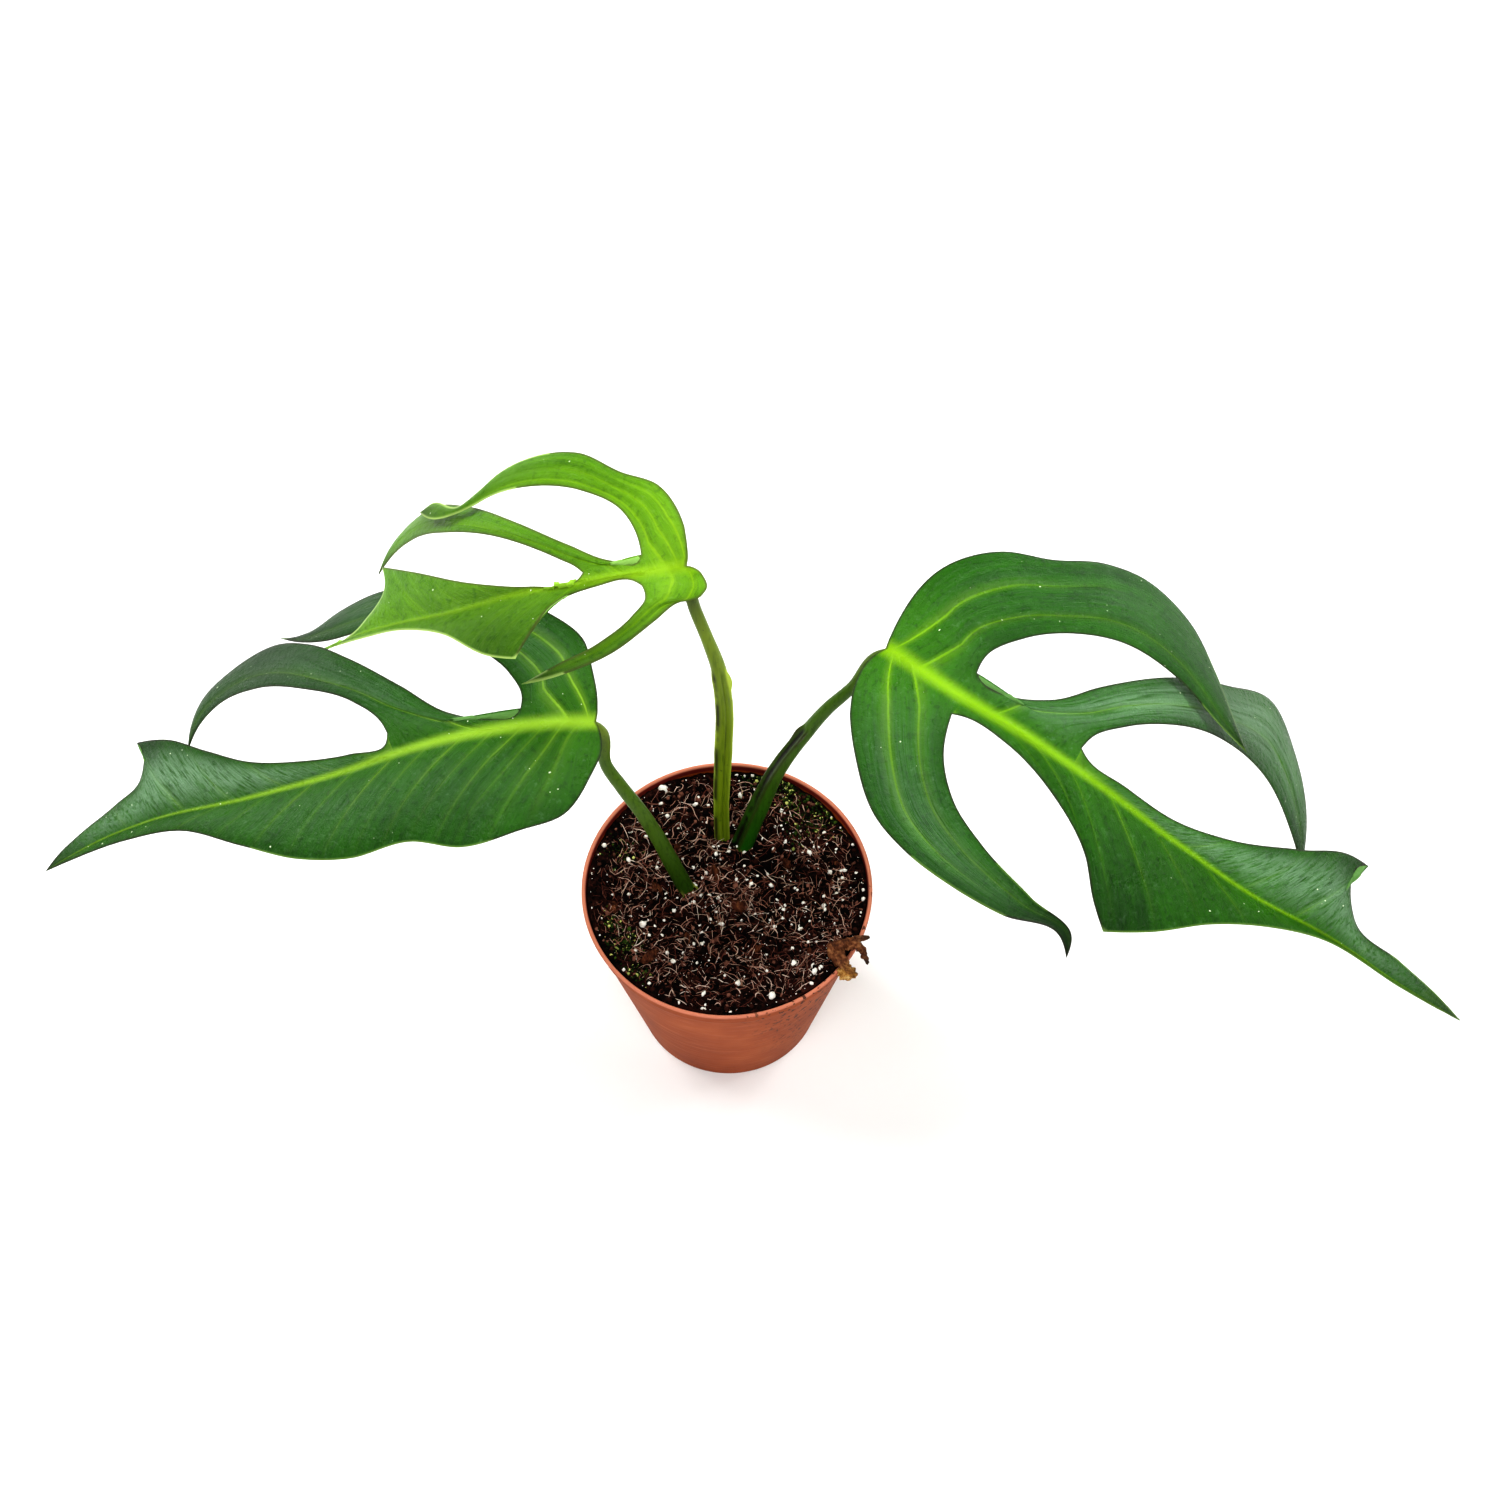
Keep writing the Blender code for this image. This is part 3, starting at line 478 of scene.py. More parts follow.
class Blade:
    """One leaf blade's flat grids and the rule that lifts them into space."""

    def __init__(self, leaf):
        self.leaf = leaf
        self.base = np.array(leaf["base"], float)
        chord = np.array(leaf["tip"], float) - self.base
        self.length = np.linalg.norm(chord)
        self.along = chord / self.length
        up = np.array(leaf["up"], float)
        up -= (up @ self.along) * self.along
        self.up = up / np.linalg.norm(up)
        self.across = np.cross(self.up, self.along)
        self.rib = smooth_line(leaf["midrib"])
        feet = {0.0, float(leaf["midrib"][-1][0])}
        for lobe in leaf["lobes"]:
            feet.update(float(x) for x in lobe["foot"])
        for wing in leaf["wings"]:
            feet.update((float(wing["foot"]), float(wing["knee_x"])))
        feet = sorted(feet)
        runs = [np.linspace(a, b, max(3, round((b - a) / STATION_STEP) + 1))[:-1]
                for a, b in zip(feet, feet[1:])]
        self.stations = np.concatenate(runs + [[feet[-1]]])

    def rib_at(self, x):
        """Points of the midrib at the given x."""
        x = np.asarray(x, float)
        return np.stack([x, np.interp(x, self.rib[:, 0], self.rib[:, 1])], axis=-1)

    def off_rib(self, flat):
        """How far a flat point lies from the midrib, across the blade."""
        return np.abs(flat[..., 1] - self.rib_at(flat[..., 0])[..., 1])

    def rib_half_width(self, flat):
        """The midrib's half width: widest at the stalk, a hair at the tip."""
        t = np.clip(flat[..., 0] / self.length, 0, 1)
        return 0.40 + (self.leaf["rib"] - 0.40) * (1 - t) ** 1.7

    def height(self, flat):
        """The arch, the soft furrow along the midrib and the fall to both sides."""
        t = np.clip(flat[..., 0] / self.length, 0, 1)
        off = self.off_rib(flat)
        furrow = FURROW_DEPTH * (1 - np.exp(-off / FURROW_WIDTH))
        return self.leaf["arch"] * np.sin(np.pi * t**0.85) + furrow - self.leaf["fall"] * off**2

    def web(self, foot, sinus):
        """The line from the midrib out to the inner end of a window."""
        share = (np.arange(WEB_ROWS + 1) / WEB_ROWS)[:, None]
        return self.rib_at(foot) * (1 - share) + np.array(sinus, float) * share

    def finish_patch(self, flat, drop, veins, painted_sheen, margins, pale):
        """Gathers a grid with all that is stored at its points."""
        folds, swell, vein_lines = veins
        points = flat.reshape(-1, 2)
        nearest = [nearest_on_line(points, margin) for margin in margins]
        gap = np.stack([found[0] for found in nearest])
        closest, rows = gap.argmin(axis=0), np.arange(len(points))
        rim = gap[closest, rows].reshape(flat.shape[:2])
        share = np.stack([found[1] for found in nearest])[closest, rows].reshape(flat.shape[:2])
        # Painted light on the margin: 1 on the stretch painted pale as a highlight, 0 where it is painted
        # dark as shade.
        tone = ((share >= pale[0]) & (share <= pale[1])).astype(float)
        clear = 1 - np.exp(-(self.off_rib(flat) / 3.0) ** 2)
        relief = clear * (swell * PLEAT_SWELL - folds * VEIN_FOLD)
        count, spacing, strength, run = (np.broadcast_to(v, flat.shape[:2]) for v in vein_lines)
        return {"flat": flat, "z": self.height(flat) - drop + relief, "vein": strength * clear ** 0.5,
                "rim": rim, "tone": tone, "lines": np.stack([count, run * 0.01], axis=-1),
                "spacing": spacing, "painted_sheen": painted_sheen}

    def lobe(self, lobe):
        """A finger of the blade, ruled between its two margins, with its veins."""
        first, last = lobe["foot"]
        out = np.arange(1, LOBE_ROWS + 1) / LOBE_ROWS
        outer, inner = smooth_line(lobe["outer"]), smooth_line(lobe["inner"])
        if first == 0:
            lead = BASE_LEAD * np.arange(WEB_ROWS + 1) / WEB_ROWS
            left = read_line(outer, np.concatenate([lead, BASE_LEAD + (1 - BASE_LEAD) * out]))
        else:
            left = np.vstack([self.web(first, lobe["outer"][0]), read_line(outer, out)])
        right = np.vstack([self.web(last, lobe["inner"][0]), read_line(inner, out)])
        foot = self.rib_at(self.stations[(self.stations >= first) & (self.stations <= last)])
        across = np.linspace(0, 1, len(foot))[None, :]
        flat = left[:, None, :] * (1 - across[..., None]) + right[:, None, :] * across[..., None]
        fade = np.clip(1 - np.arange(len(flat)) / WEB_ROWS, 0, 1)[:, None, None]
        flat = flat + (foot - flat[0])[None] * fade
        drop = lobe["droop"] * np.concatenate([np.zeros(WEB_ROWS + 1), out**1.5])[:, None]
        reach = (np.arange(len(flat)) / (len(flat) - 1))[:, None]
        width = np.linalg.norm(right - left, axis=1)[:, None]
        # Painted sheen: strongest across the middle of the lobe and midway along it.
        painted_sheen = lobe.get("painted_sheen", 0.0) * np.sin(np.pi * across)
        painted_sheen = painted_sheen * np.sin(np.pi * np.clip(reach * 1.1 - 0.1, 0, 1))
        return self.finish_patch(flat, drop, lobe_veins(lobe, across, reach, width), painted_sheen,
                                 (outer, inner), lobe["pale"])

    def wing(self, wing):
        """The undivided side, ruled from the midrib to its margin, with its side veins."""
        stations = self.stations[self.stations >= wing["foot"]]
        knee, points = wing["knee"], wing["margin"]
        if wing["sharp"]:
            margin = np.vstack([smooth_line(points[:knee + 1]), smooth_line(points[knee:])[1:]])
        else:
            margin = smooth_line(points)
        margin_shares = length_shares(margin)
        shares = np.interp(stations, [wing["foot"], wing["knee_x"], stations[-1]],
                           [0, margin_shares[knee * PER_SPAN], 1])
        out = (np.arange(WEB_ROWS + 1) / WEB_ROWS)[None, :]
        rib, edge = self.rib_at(stations)[:, None, :], read_line(margin, shares)[:, None, :]
        flat = rib * (1 - out[..., None]) + edge * out[..., None]
        along = (stations[:, None] - stations[0]) / (stations[-1] - stations[0])
        # Painted sheen: strongest part way out and midway along the wing.
        painted_sheen = wing.get("painted_sheen", 0.0) * np.sin(np.pi * np.clip(out * 1.1, 0, 1))
        painted_sheen = painted_sheen * np.sin(np.pi * along)
        return self.finish_patch(flat, 0.0, wing_veins(wing, stations, out), painted_sheen, (margin,),
                                 wing["pale"])


blades = {name: Blade(leaf) for name, leaf in LEAVES.items()}
print("blade lengths in mm:", {name: round(blade.length) for name, blade in blades.items()})

# %% [markdown]
# ## The leaf blades: from sheet to body
# The grids are welded into one open sheet and given a real thickness: about half a millimetre,
# thinner at the margin, with the midrib standing out underneath. The bottom copy of the points is
# pushed along the normals, and a strip of faces closes the margin all round.

# %% Weld the grids
BLADE_THICKNESS, MARGIN_THICKNESS = 0.5, 0.22
RIB_BULGE, RIB_FADE, WIDEST_RIB = 1.5, 0.75, 3.0
CREST_RISE, CREST_WIDTH = 0.25, 0.55
WAVE_RISE, WAVE_CELL, CALM_MARGIN = 0.7, 17.0, 6.0
MARGIN_ROLL, ROLL_WIDTH = 0.35, 1.2
BLADE_TIP_DARK, LOBE_TIP_DARK = 24.0, 16.0
RIB_GLOW, BASE_GLOW = 9.0, 26.0
STORED = ("vein", "rim", "tone", "spacing", "painted_sheen", "rib", "core", "tip", "wide")


def weld_sheet(blade, name):
    """One open sheet from a blade's grids; points that share a flat place are averaged and merged."""
    patches = [blade.lobe(p) for p in blade.leaf["lobes"]] + [blade.wing(p) for p in blade.leaf["wings"]]
    starts = np.cumsum([0] + [p["flat"].shape[0] * p["flat"].shape[1] for p in patches])
    faces = np.concatenate([grid_faces(*p["flat"].shape[:2]) + start for p, start in zip(patches, starts)])
    flat = np.concatenate([p["flat"].reshape(-1, 2) for p in patches])
    _, place = np.unique(np.round(flat, 3), axis=0, return_inverse=True)
    place = place.ravel()
    count = np.bincount(place)

    def shared(key):
        """Numbers of all grids, averaged where grids meet."""
        numbers = np.concatenate([np.broadcast_to(p[key], p["flat"].shape[:2]).ravel() for p in patches])
        return (np.bincount(place, numbers) / count)[place]

    z, vein, rim, tone = shared("z"), shared("vein"), shared("rim"), shared("tone")
    half = blade.rib_half_width(flat)
    rib = np.exp(-(blade.off_rib(flat) / half) ** 2)
    t = np.clip(flat[:, 0] / blade.length, 0, 1)
    z = z + CREST_RISE * half * np.exp(-(blade.off_rib(flat) / (CREST_WIDTH * half)) ** 2)
    waves = cloud(flat[:, 0], flat[:, 1], WAVE_CELL, 5) - 0.5
    z = z + WAVE_RISE * waves * np.clip(rim / CALM_MARGIN, 0, 1)
    z = z - MARGIN_ROLL * np.exp(-rim / ROLL_WIDTH)
    # Darkening towards the blade's tip and each lobe's tip; a lobe with a reach of its own lies in shade,
    # and its long darkening is painted shade.
    tip = np.exp(-np.linalg.norm(flat - flat[t.argmax()], axis=1) / BLADE_TIP_DARK)
    for lobe in blade.leaf["lobes"]:
        away = np.linalg.norm(flat - np.array(lobe["outer"][-1]), axis=1)
        tip = np.maximum(tip, np.exp(-away / lobe.get("dark", LOBE_TIP_DARK)))
    beside_rib = np.exp(-blade.off_rib(flat) / RIB_GLOW) * (1 - 0.75 * t)
    wide = np.maximum(beside_rib, 0.9 * hump(np.linalg.norm(flat, axis=1), BASE_GLOW))
    points = (blade.base + flat[:, :1] * blade.along + flat[:, 1:] * blade.across + z[:, None] * blade.up)
    core = blade.off_rib(flat) / half + RIB_FADE * t**1.4
    sheet = make_mesh(name + "_sheet", points, faces.tolist(), {
        "vein": vein, "rim": rim, "tone": tone, "spacing": shared("spacing"), "painted_sheen": shared("painted_sheen"),
        "rib": rib * (1 - t) ** 0.3, "core": core, "tip": tip, "wide": wide})
    uv = np.concatenate([p["lines"].reshape(-1, 2) for p in patches])[faces.ravel()]
    sheet.uv_layers.new(name="lines").data.foreach_set("uv", uv.astype(np.float32).ravel())
    return sheet


# %% [markdown]
# Two small tools: one merges the points of neighbouring grids that now lie on each other, the other
# reads a mesh's numbers back into arrays.

# %% Merge and read back


def merge_doubles(mesh, distance=2e-6, upward=True):
    """Merges points that lie on each other; an open sheet is then turned to face upward."""
    bm = bmesh.new()
    bm.from_mesh(mesh)
    bmesh.ops.remove_doubles(bm, verts=bm.verts, dist=distance)
    bmesh.ops.recalc_face_normals(bm, faces=bm.faces)
    if upward and sum(face.normal.z * face.calc_area() for face in bm.faces) < 0:
        bmesh.ops.reverse_faces(bm, faces=bm.faces)
    bm.to_mesh(mesh)
    bm.free()


def read_points(mesh, collection, label, width):
    """Numbers of a mesh collection as an array with the given width."""
    numbers = np.zeros(len(collection) * width, np.float32)
    collection.foreach_get(label, numbers)
    return numbers.reshape(-1, width).astype(float) if width > 1 else numbers


# %% [markdown]
# An edge that only one face uses lies on the margin. The strip that closes the body stands on
# those edges, and it takes its lines from the top's.

# %% Thicken and close


def thicken(sheet, name, rib_bulge):
    """A closed body: the sheet on top, its pushed-down copy below, and a strip round the margin."""
    top = read_points(sheet, sheet.vertices, "co", 3) / MM
    normal = read_points(sheet, sheet.vertex_normals, "vector", 3)
    stored = {key: read_points(sheet, sheet.attributes[key].data, "value", 1) for key in STORED}
    thick = MARGIN_THICKNESS + (BLADE_THICKNESS - MARGIN_THICKNESS) * (1 - np.exp(-stored["rim"] / 1.5))
    thick = thick + rib_bulge * stored["rib"]
    bottom = top - normal * thick[:, None]
    corner = read_points(sheet, sheet.loops, "vertex_index", 1).astype(int)
    start = read_points(sheet, sheet.polygons, "loop_start", 1).astype(int)
    total = read_points(sheet, sheet.polygons, "loop_total", 1).astype(int)
    following = np.arange(1, len(corner) + 1)
    following[start + total - 1] = start
    a, b = corner, corner[following]
    key = np.minimum(a, b).astype(np.int64) * len(top) + np.maximum(a, b)
    _, index, uses = np.unique(key, return_inverse=True, return_counts=True)
    border = uses[index.ravel()] == 1
    a, b = a[border], b[border]
    n = len(top)
    sides = np.stack([b, a, a + n, b + n], axis=1)
    top_faces = [corner[s:s + t].tolist() for s, t in zip(start, total)]
    faces = top_faces + [[v + n for v in reversed(face)] for face in top_faces] + sides.tolist()
    values = {key: np.concatenate([numbers, numbers]) for key, numbers in stored.items()}
    values["under"] = np.concatenate([np.zeros(n), np.ones(n)])
    body = make_mesh(name, np.vstack([top, bottom]), faces, values)
    uv = read_points(sheet, sheet.uv_layers["lines"].data, "uv", 2)
    upside = [list(range(s, s + t))[::-1] for s, t in zip(start, total)]
    upside = np.concatenate([np.array(face) for face in upside])
    border_uv = np.stack([uv[following][border], uv[border], uv[border], uv[following][border]], axis=1)
    body_uv = np.vstack([uv, uv[upside], border_uv.reshape(-1, 2)])
    body.uv_layers.new(name="lines").data.foreach_set("uv", body_uv.astype(np.float32).ravel())
    bpy.data.meshes.remove(sheet)
    return body


# %% [markdown]
# ## Leaf finish
# The top of a blade is a waxy green with a satin gloss. It is brighter and yellower along the
# midrib and the veins, has fine parallel lines that run from the midrib to the margin, and darkens in
# the tips. Its fine crinkles carry painted shade and painted glints, and a painted sheen of pale
# grey-green lies in soft streaky patches where the blade tilts back towards the light behind. The
# thin margin is painted pale as a highlight on some stretches and brownish as shade on others, and
# a lobe that lies in shade has its tip's darkening stretched far along it as painted shade. The
# underside is paler and duller. The lines follow the surface, so they read the blade's own UV map.

# %% A leaf material


def leaf_finish(name, deep, mid, bright, rib, lit_margin, shaded_margin, under, sheen_colour, gloss,
                edge_width):
    """A leaf's two sides, coloured by the numbers stored at its points; the top carries painted sheen,
    glints and shade.
    """
    made = Finish(name, specular=0.27)
    lines_map = made.nodes.new("ShaderNodeUVMap")
    lines_map.uv_map = "lines"
    where = lines_map.outputs["UV"]
    fine = made.noise(1.0, 4.0, 0.6, made.stretched((20.0, 7.0, 1.0), where), 0.6)
    bands = made.noise(1.0, 2.0, 0.5, made.stretched((5.0, 2.5, 1.0), where))
    tone = made.math("ADD", made.math("MULTIPLY", made.noise(45.0, 4.0), 0.5),
                     made.math("MULTIPLY", bands, 0.5))
    green = made.ramp(tone, (0.34, deep), (0.62, mid))
    green = made.mix(made.math("MULTIPLY", made.stored("wide"), 0.85, clamp=True), green, bright)
    darker = made.mix(1.0, green, (0.76, 0.82, 0.74), "MULTIPLY")
    green = made.mix(made.level(fine, 0.42, 0.68), green, darker)
    # The fine crinkles carry painted shade, a darker green on one side of their noise, and painted glints of
    # the sheen colour on the other.
    crinkle = made.noise(420.0, 5.0, 0.68)
    painted_shade = made.mix(1.0, green, (0.58, 0.66, 0.60), "MULTIPLY")
    green = made.mix(made.level(crinkle, 0.52, 0.68), green, painted_shade)
    crinkle_glint = made.math("SUBTRACT", 1.0, made.level(crinkle, 0.28, 0.44))
    green = made.mix(made.math("MULTIPLY", crinkle_glint, 0.12), green, sheen_colour)
    axes = made.nodes.new("ShaderNodeSeparateXYZ")
    made.links.new(where, axes.inputs[0])
    phase = made.math("ABSOLUTE", made.math("SUBTRACT", made.math("FRACT", axes.outputs["X"]), 0.5))
    away = made.math("MULTIPLY", phase, made.stored("spacing"))
    line = made.math("SUBTRACT", 1.0, made.level(away, 0.10, 0.75))
    halo = made.math("MULTIPLY", made.math("SUBTRACT", 1.0, made.level(away, 0.2, 3.0)), 0.36)
    vein = made.math("MULTIPLY", made.math("MAXIMUM", line, halo), made.stored("vein"))
    clarity = made.math("ADD", 0.36, made.math("MULTIPLY", made.stored("wide"), 0.55))
    green = made.mix(made.math("MULTIPLY", vein, clarity, clamp=True), green, rib)
    core = made.math("SUBTRACT", 1.0, made.level(made.stored("core"), 0.05, 1.75))
    # Painted sheen: pale grey-green laid in streaks where the blade tilts back towards the light behind.
    painted_sheen = made.math("MULTIPLY", made.stored("painted_sheen"), made.level(fine, 0.25, 0.62))
    green = made.mix(made.math("MULTIPLY", painted_sheen, 0.50, clamp=True), green, sheen_colour)
    glow = made.math("ADD", 0.50, made.math("MULTIPLY", made.stored("wide"), 0.5))
    green = made.mix(made.math("MULTIPLY", core, glow), green, rib)
    # The tips darken towards a near-black green; on lobes that lie in shade this stretches far along them as
    # painted shade.
    green = made.mix(made.math("MULTIPLY", made.stored("tip"), 0.78, clamp=True), green,
                     tuple(0.22 * c for c in deep))
    specks = made.level(made.noise(800.0, 0.0), 0.872, 0.885)
    green = made.mix(specks, green, (0.72, 0.82, 0.58))
    # The thin margin: pale as a painted highlight on the lit stretches, dark brown as painted shade
    # elsewhere.
    edge = made.math("SUBTRACT", 1.0, made.level(made.stored("rim"), 0.15, edge_width))
    rimmed = made.mix(made.stored("tone"), shaded_margin, lit_margin)
    green = made.mix(made.math("MULTIPLY", edge, 0.75), green, rimmed)
    below = made.mix(made.math("MULTIPLY", made.stored("rib"), 0.7, clamp=True), under, rib)
    below = made.mix(made.math("MULTIPLY", line, made.stored("vein"), clamp=True), below, rib)
    made.colour(made.mix(made.stored("under"), green, below))
    sheen = made.math("ADD", gloss, made.math("MULTIPLY", made.noise(70.0, 4.0), 0.14))
    made.rough(made.math("ADD", sheen, made.math("MULTIPLY", made.stored("under"), 0.25)))
    grain = made.math("ADD", made.math("MULTIPLY", fine, 0.4), made.math("MULTIPLY", crinkle, 0.6))
    made.bump(grain, 0.0013, 0.9)
    return made.material


# %% [markdown]
# The two grown leaves are nearly the same green, and the left one has a paler midrib. The youngest
# leaf is yellower and softer in its gloss.

# %% Three greens
leaf_green = leaf_finish(
    "leaf_green", deep=shade(22, 72, 2), mid=shade(43, 101, 6), bright=shade(64, 124, 0),
    rib=shade(134, 180, 4), lit_margin=shade(112, 142, 70), shaded_margin=shade(44, 36, 30),
    under=shade(96, 138, 74), sheen_colour=shade(150, 186, 150), gloss=0.22, edge_width=0.9)
left_green = leaf_finish(
    "leaf_green_left", deep=shade(24, 76, 2), mid=shade(44, 102, 6), bright=shade(66, 126, 0),
    rib=shade(164, 206, 56), lit_margin=shade(112, 142, 70), shaded_margin=shade(44, 36, 30),
    under=shade(96, 138, 74), sheen_colour=shade(150, 186, 150), gloss=0.22, edge_width=0.9)
young_green = leaf_finish(
    "young_leaf_green", deep=shade(86, 142, 16), mid=shade(114, 168, 24), bright=shade(128, 182, 12),
    rib=shade(156, 202, 20), lit_margin=shade(186, 212, 124), shaded_margin=shade(84, 92, 44),
    under=shade(136, 178, 90), sheen_colour=shade(190, 216, 150), gloss=0.30, edge_width=1.0)

# %% [markdown]
# Each blade is now welded, closed and given its green.

# %% Build the three blades
FINISHES = {"right": leaf_green, "left": left_green, "middle": young_green}
for name, blade in blades.items():
    sheet = weld_sheet(blade, "blade_" + name)
    merge_doubles(sheet)
    body = thicken(sheet, "blade_" + name, RIB_BULGE * blade.leaf["rib"] / WIDEST_RIB)
    make_piece(body, FINISHES[name], ("leaf_" + name,),
               crease=70)

# %% [markdown]
# ## Stalks
# A leaf stalk is a fleshy rod that thins upwards and thickens again just under its blade. Its
# lower part carries the remains of a sheath: two thin wings with a dark groove between them, on
# the side that faces the growing point. So the rod is swept with a section that changes on the
# way, and it ends inside the swelling of the midrib. A ragged collar of old sheath stands around
# the foot of the left stalk.

# %% Swept rods


def swept(line, towards, radii):
    """A closed rod: one ring at each point of the line, with radii[row, angle] counted from the
    side that looks towards the given direction."""
    ahead = np.gradient(line, axis=0)
    ahead /= np.linalg.norm(ahead, axis=1)[:, None]
    side = np.array(towards, float) - (ahead @ np.array(towards, float))[:, None] * ahead
    side /= np.linalg.norm(side, axis=1)[:, None]
    other = np.cross(ahead, side)
    sides = radii.shape[1]
    angle = np.linspace(-np.pi, np.pi, sides, endpoint=False)[None, :, None]
    ring = np.cos(angle) * side[:, None] + np.sin(angle) * other[:, None]
    points = (line[:, None] + ring * radii[..., None]).reshape(-1, 3)
    last = (len(line) - 1) * sides
    caps = [list(range(sides))[::-1], list(range(last, last + sides))]
    return points, grid_faces(len(line), sides, around=True).tolist() + caps


# %% [markdown]
# Each stalk has a route from below the mix to its blade, a diameter at each point of it, the side
# that its sheath opens to, where the sheath ends, and the width and strength of the groove. "wings"
# says how far round the two wings stand from the groove, and "free" how much their tips stand off.

# %% Stalk routes and sections
STALKS = {
    "right": {
        "route": [(5, 20, 80), (12, 24, 105), (19, 26, 128), (27, 29, 143), (35, 31, 157),
                  (43, 33, 167), (50, 36, 179)],
        "diameters": [8.0, 7.2, 5.8, 5.0, 4.4, 4.0, 4.2], "towards": (-0.80, -0.38, 0.45),
        "sheath_end": 0.62, "groove": 0.42, "seam": 0.0, "open": 1.0, "wings": (0.62, 0.62),
        "free": (1.6, 1.6),
    },
    "middle": {
        "route": [(-2, 24, 80), (-2, 25, 106), (-1, 27, 137), (-0.5, 28, 166), (-2, 29, 183),
                  (-5.5, 30, 199), (-9, 31, 213), (-12, 32, 227)],
        "diameters": [5.6, 5.6, 6.3, 6.0, 5.0, 4.2, 4.0, 4.0], "towards": (0.25, -0.9, 0.2),
        "sheath_end": 0.68, "groove": 0.15, "seam": -1.05, "open": 0.1, "wings": (1.30, 0.80),
        "free": (0.6, 3.4),
    },
    "left": {
        "route": [(-14, 1, 80), (-20, 5, 97), (-25, 8, 111), (-30, 10, 124), (-36, 13, 135),
                  (-41, 16, 145), (-42, 20, 159)],
        "diameters": [6.4, 6.0, 5.4, 5.0, 4.6, 4.2, 4.2], "towards": (0.5, -0.7, 0.4),
        "sheath_end": 0.12, "groove": 0.2, "seam": -0.9, "open": 0.3, "wings": (0.9, 0.9),
        "free": (2.0, 2.0),
    },
}
STALK_ROWS, STALK_SIDES = 180, 56
BELOW_MIX = 8.0
JOINT_RUN, JOINT_DEPTH, JOINT_DIAMETER = 4.0, 1.3, 3.4
WING_HEIGHT, WING_WIDTH, GROOVE_DEPTH = 0.42, 0.17, 0.20


def stalk_mesh(name, stalk, blade):
    """A stalk with its sheath wings, its groove and the swelling under the blade."""
    rise = blade.height(blade.rib_at(JOINT_RUN)) - JOINT_DEPTH
    joint = blade.base + JOINT_RUN * blade.along + rise * blade.up
    route = [np.array(p, float) for p in stalk["route"]] + [joint]
    down = (route[0] - route[1]) / np.linalg.norm(route[0] - route[1])
    route = [route[0] + down * BELOW_MIX] + route
    diameters = [stalk["diameters"][0]] + stalk["diameters"] + [JOINT_DIAMETER]
    dense = smooth_line(route)
    share = np.linspace(0, 1, STALK_ROWS)
    line = read_line(dense, share)
    thick = np.interp(share, length_shares(dense)[::PER_SPAN], diameters) / 2
    thick = thick + 0.25 * hump(share - 0.955, 0.03)
    angle = np.linspace(-np.pi, np.pi, STALK_SIDES, endpoint=False)[None, :]
    end = stalk["sheath_end"]
    sheathed = 0.5 - 0.5 * np.tanh((share[:, None] - end) / 0.012)
    flare = hump(share[:, None] - end + 0.025, 0.03)
    left_at, right_at = stalk["wings"]
    left_free, right_free = stalk["free"]
    left = hump(angle + left_at, WING_WIDTH) * (1 + left_free * flare)
    right = hump(angle - right_at, WING_WIDTH) * (1 + right_free * flare)
    wings = (left + right) * sheathed
    groove = hump(angle, stalk["groove"]) * sheathed
    wobble = cloud(share[:, None] * 220, np.cos(angle) * 9 + 40, 11.0, 3) - 0.5
    radii = thick[:, None] * (1 - GROOVE_DEPTH * groove + 0.05 * wobble) + WING_HEIGHT * wings
    points, faces = swept(line, stalk["towards"], radii)
    height = np.broadcast_to(share[:, None], radii.shape)
    seam = hump(angle - stalk["seam"], 0.26) * sheathed
    return make_mesh("stalk_" + name, points, faces,
                     {"share": height, "wing": wings, "groove": groove * stalk["open"], "seam": seam})


# %% [markdown]
# The flesh changes from foot to top, with fine streaks along it and small dark spots. The wings
# are paler, and the groove and the seam of the old sheath are nearly black.

# %% Stalk finishes


def stalk_finish(name, foot, middle, top, wing, groove):
    """Green flesh that changes colour from foot to top, with pale wings and a dark groove."""
    made = Finish(name, roughness=0.42, specular=0.35)
    streak = made.noise(1.0, 3.0, 0.6, made.stretched((900.0, 900.0, 55.0)))
    flesh = made.ramp(made.stored("share"), (0.10, foot), (0.45, middle), (0.80, middle), (0.93, top))
    flesh = made.mix(made.level(streak, 0.45, 0.75), flesh,
                     made.mix(1.0, flesh, (0.62, 0.68, 0.55), "MULTIPLY"))
    flesh = made.mix(made.math("MULTIPLY", made.stored("wing"), 0.75, clamp=True), flesh, wing)
    torn = made.math("MULTIPLY", made.stored("groove"),
                     made.level(made.noise(160.0, 4.0), 0.34, 0.56), clamp=True)
    flesh = made.mix(torn, flesh, groove)
    seam = made.math("MULTIPLY", made.stored("seam"),
                     made.level(made.noise(60.0, 3.0), 0.36, 0.52))
    flesh = made.mix(made.math("MULTIPLY", seam, 0.9, clamp=True), flesh, groove)
    spots = made.level(made.noise(620.0, 1.0), 0.70, 0.76)
    flesh = made.mix(made.math("MULTIPLY", spots, 0.5), flesh, groove)
    made.colour(flesh)
    made.bump(streak, 0.0004, 0.5)
    return made.material


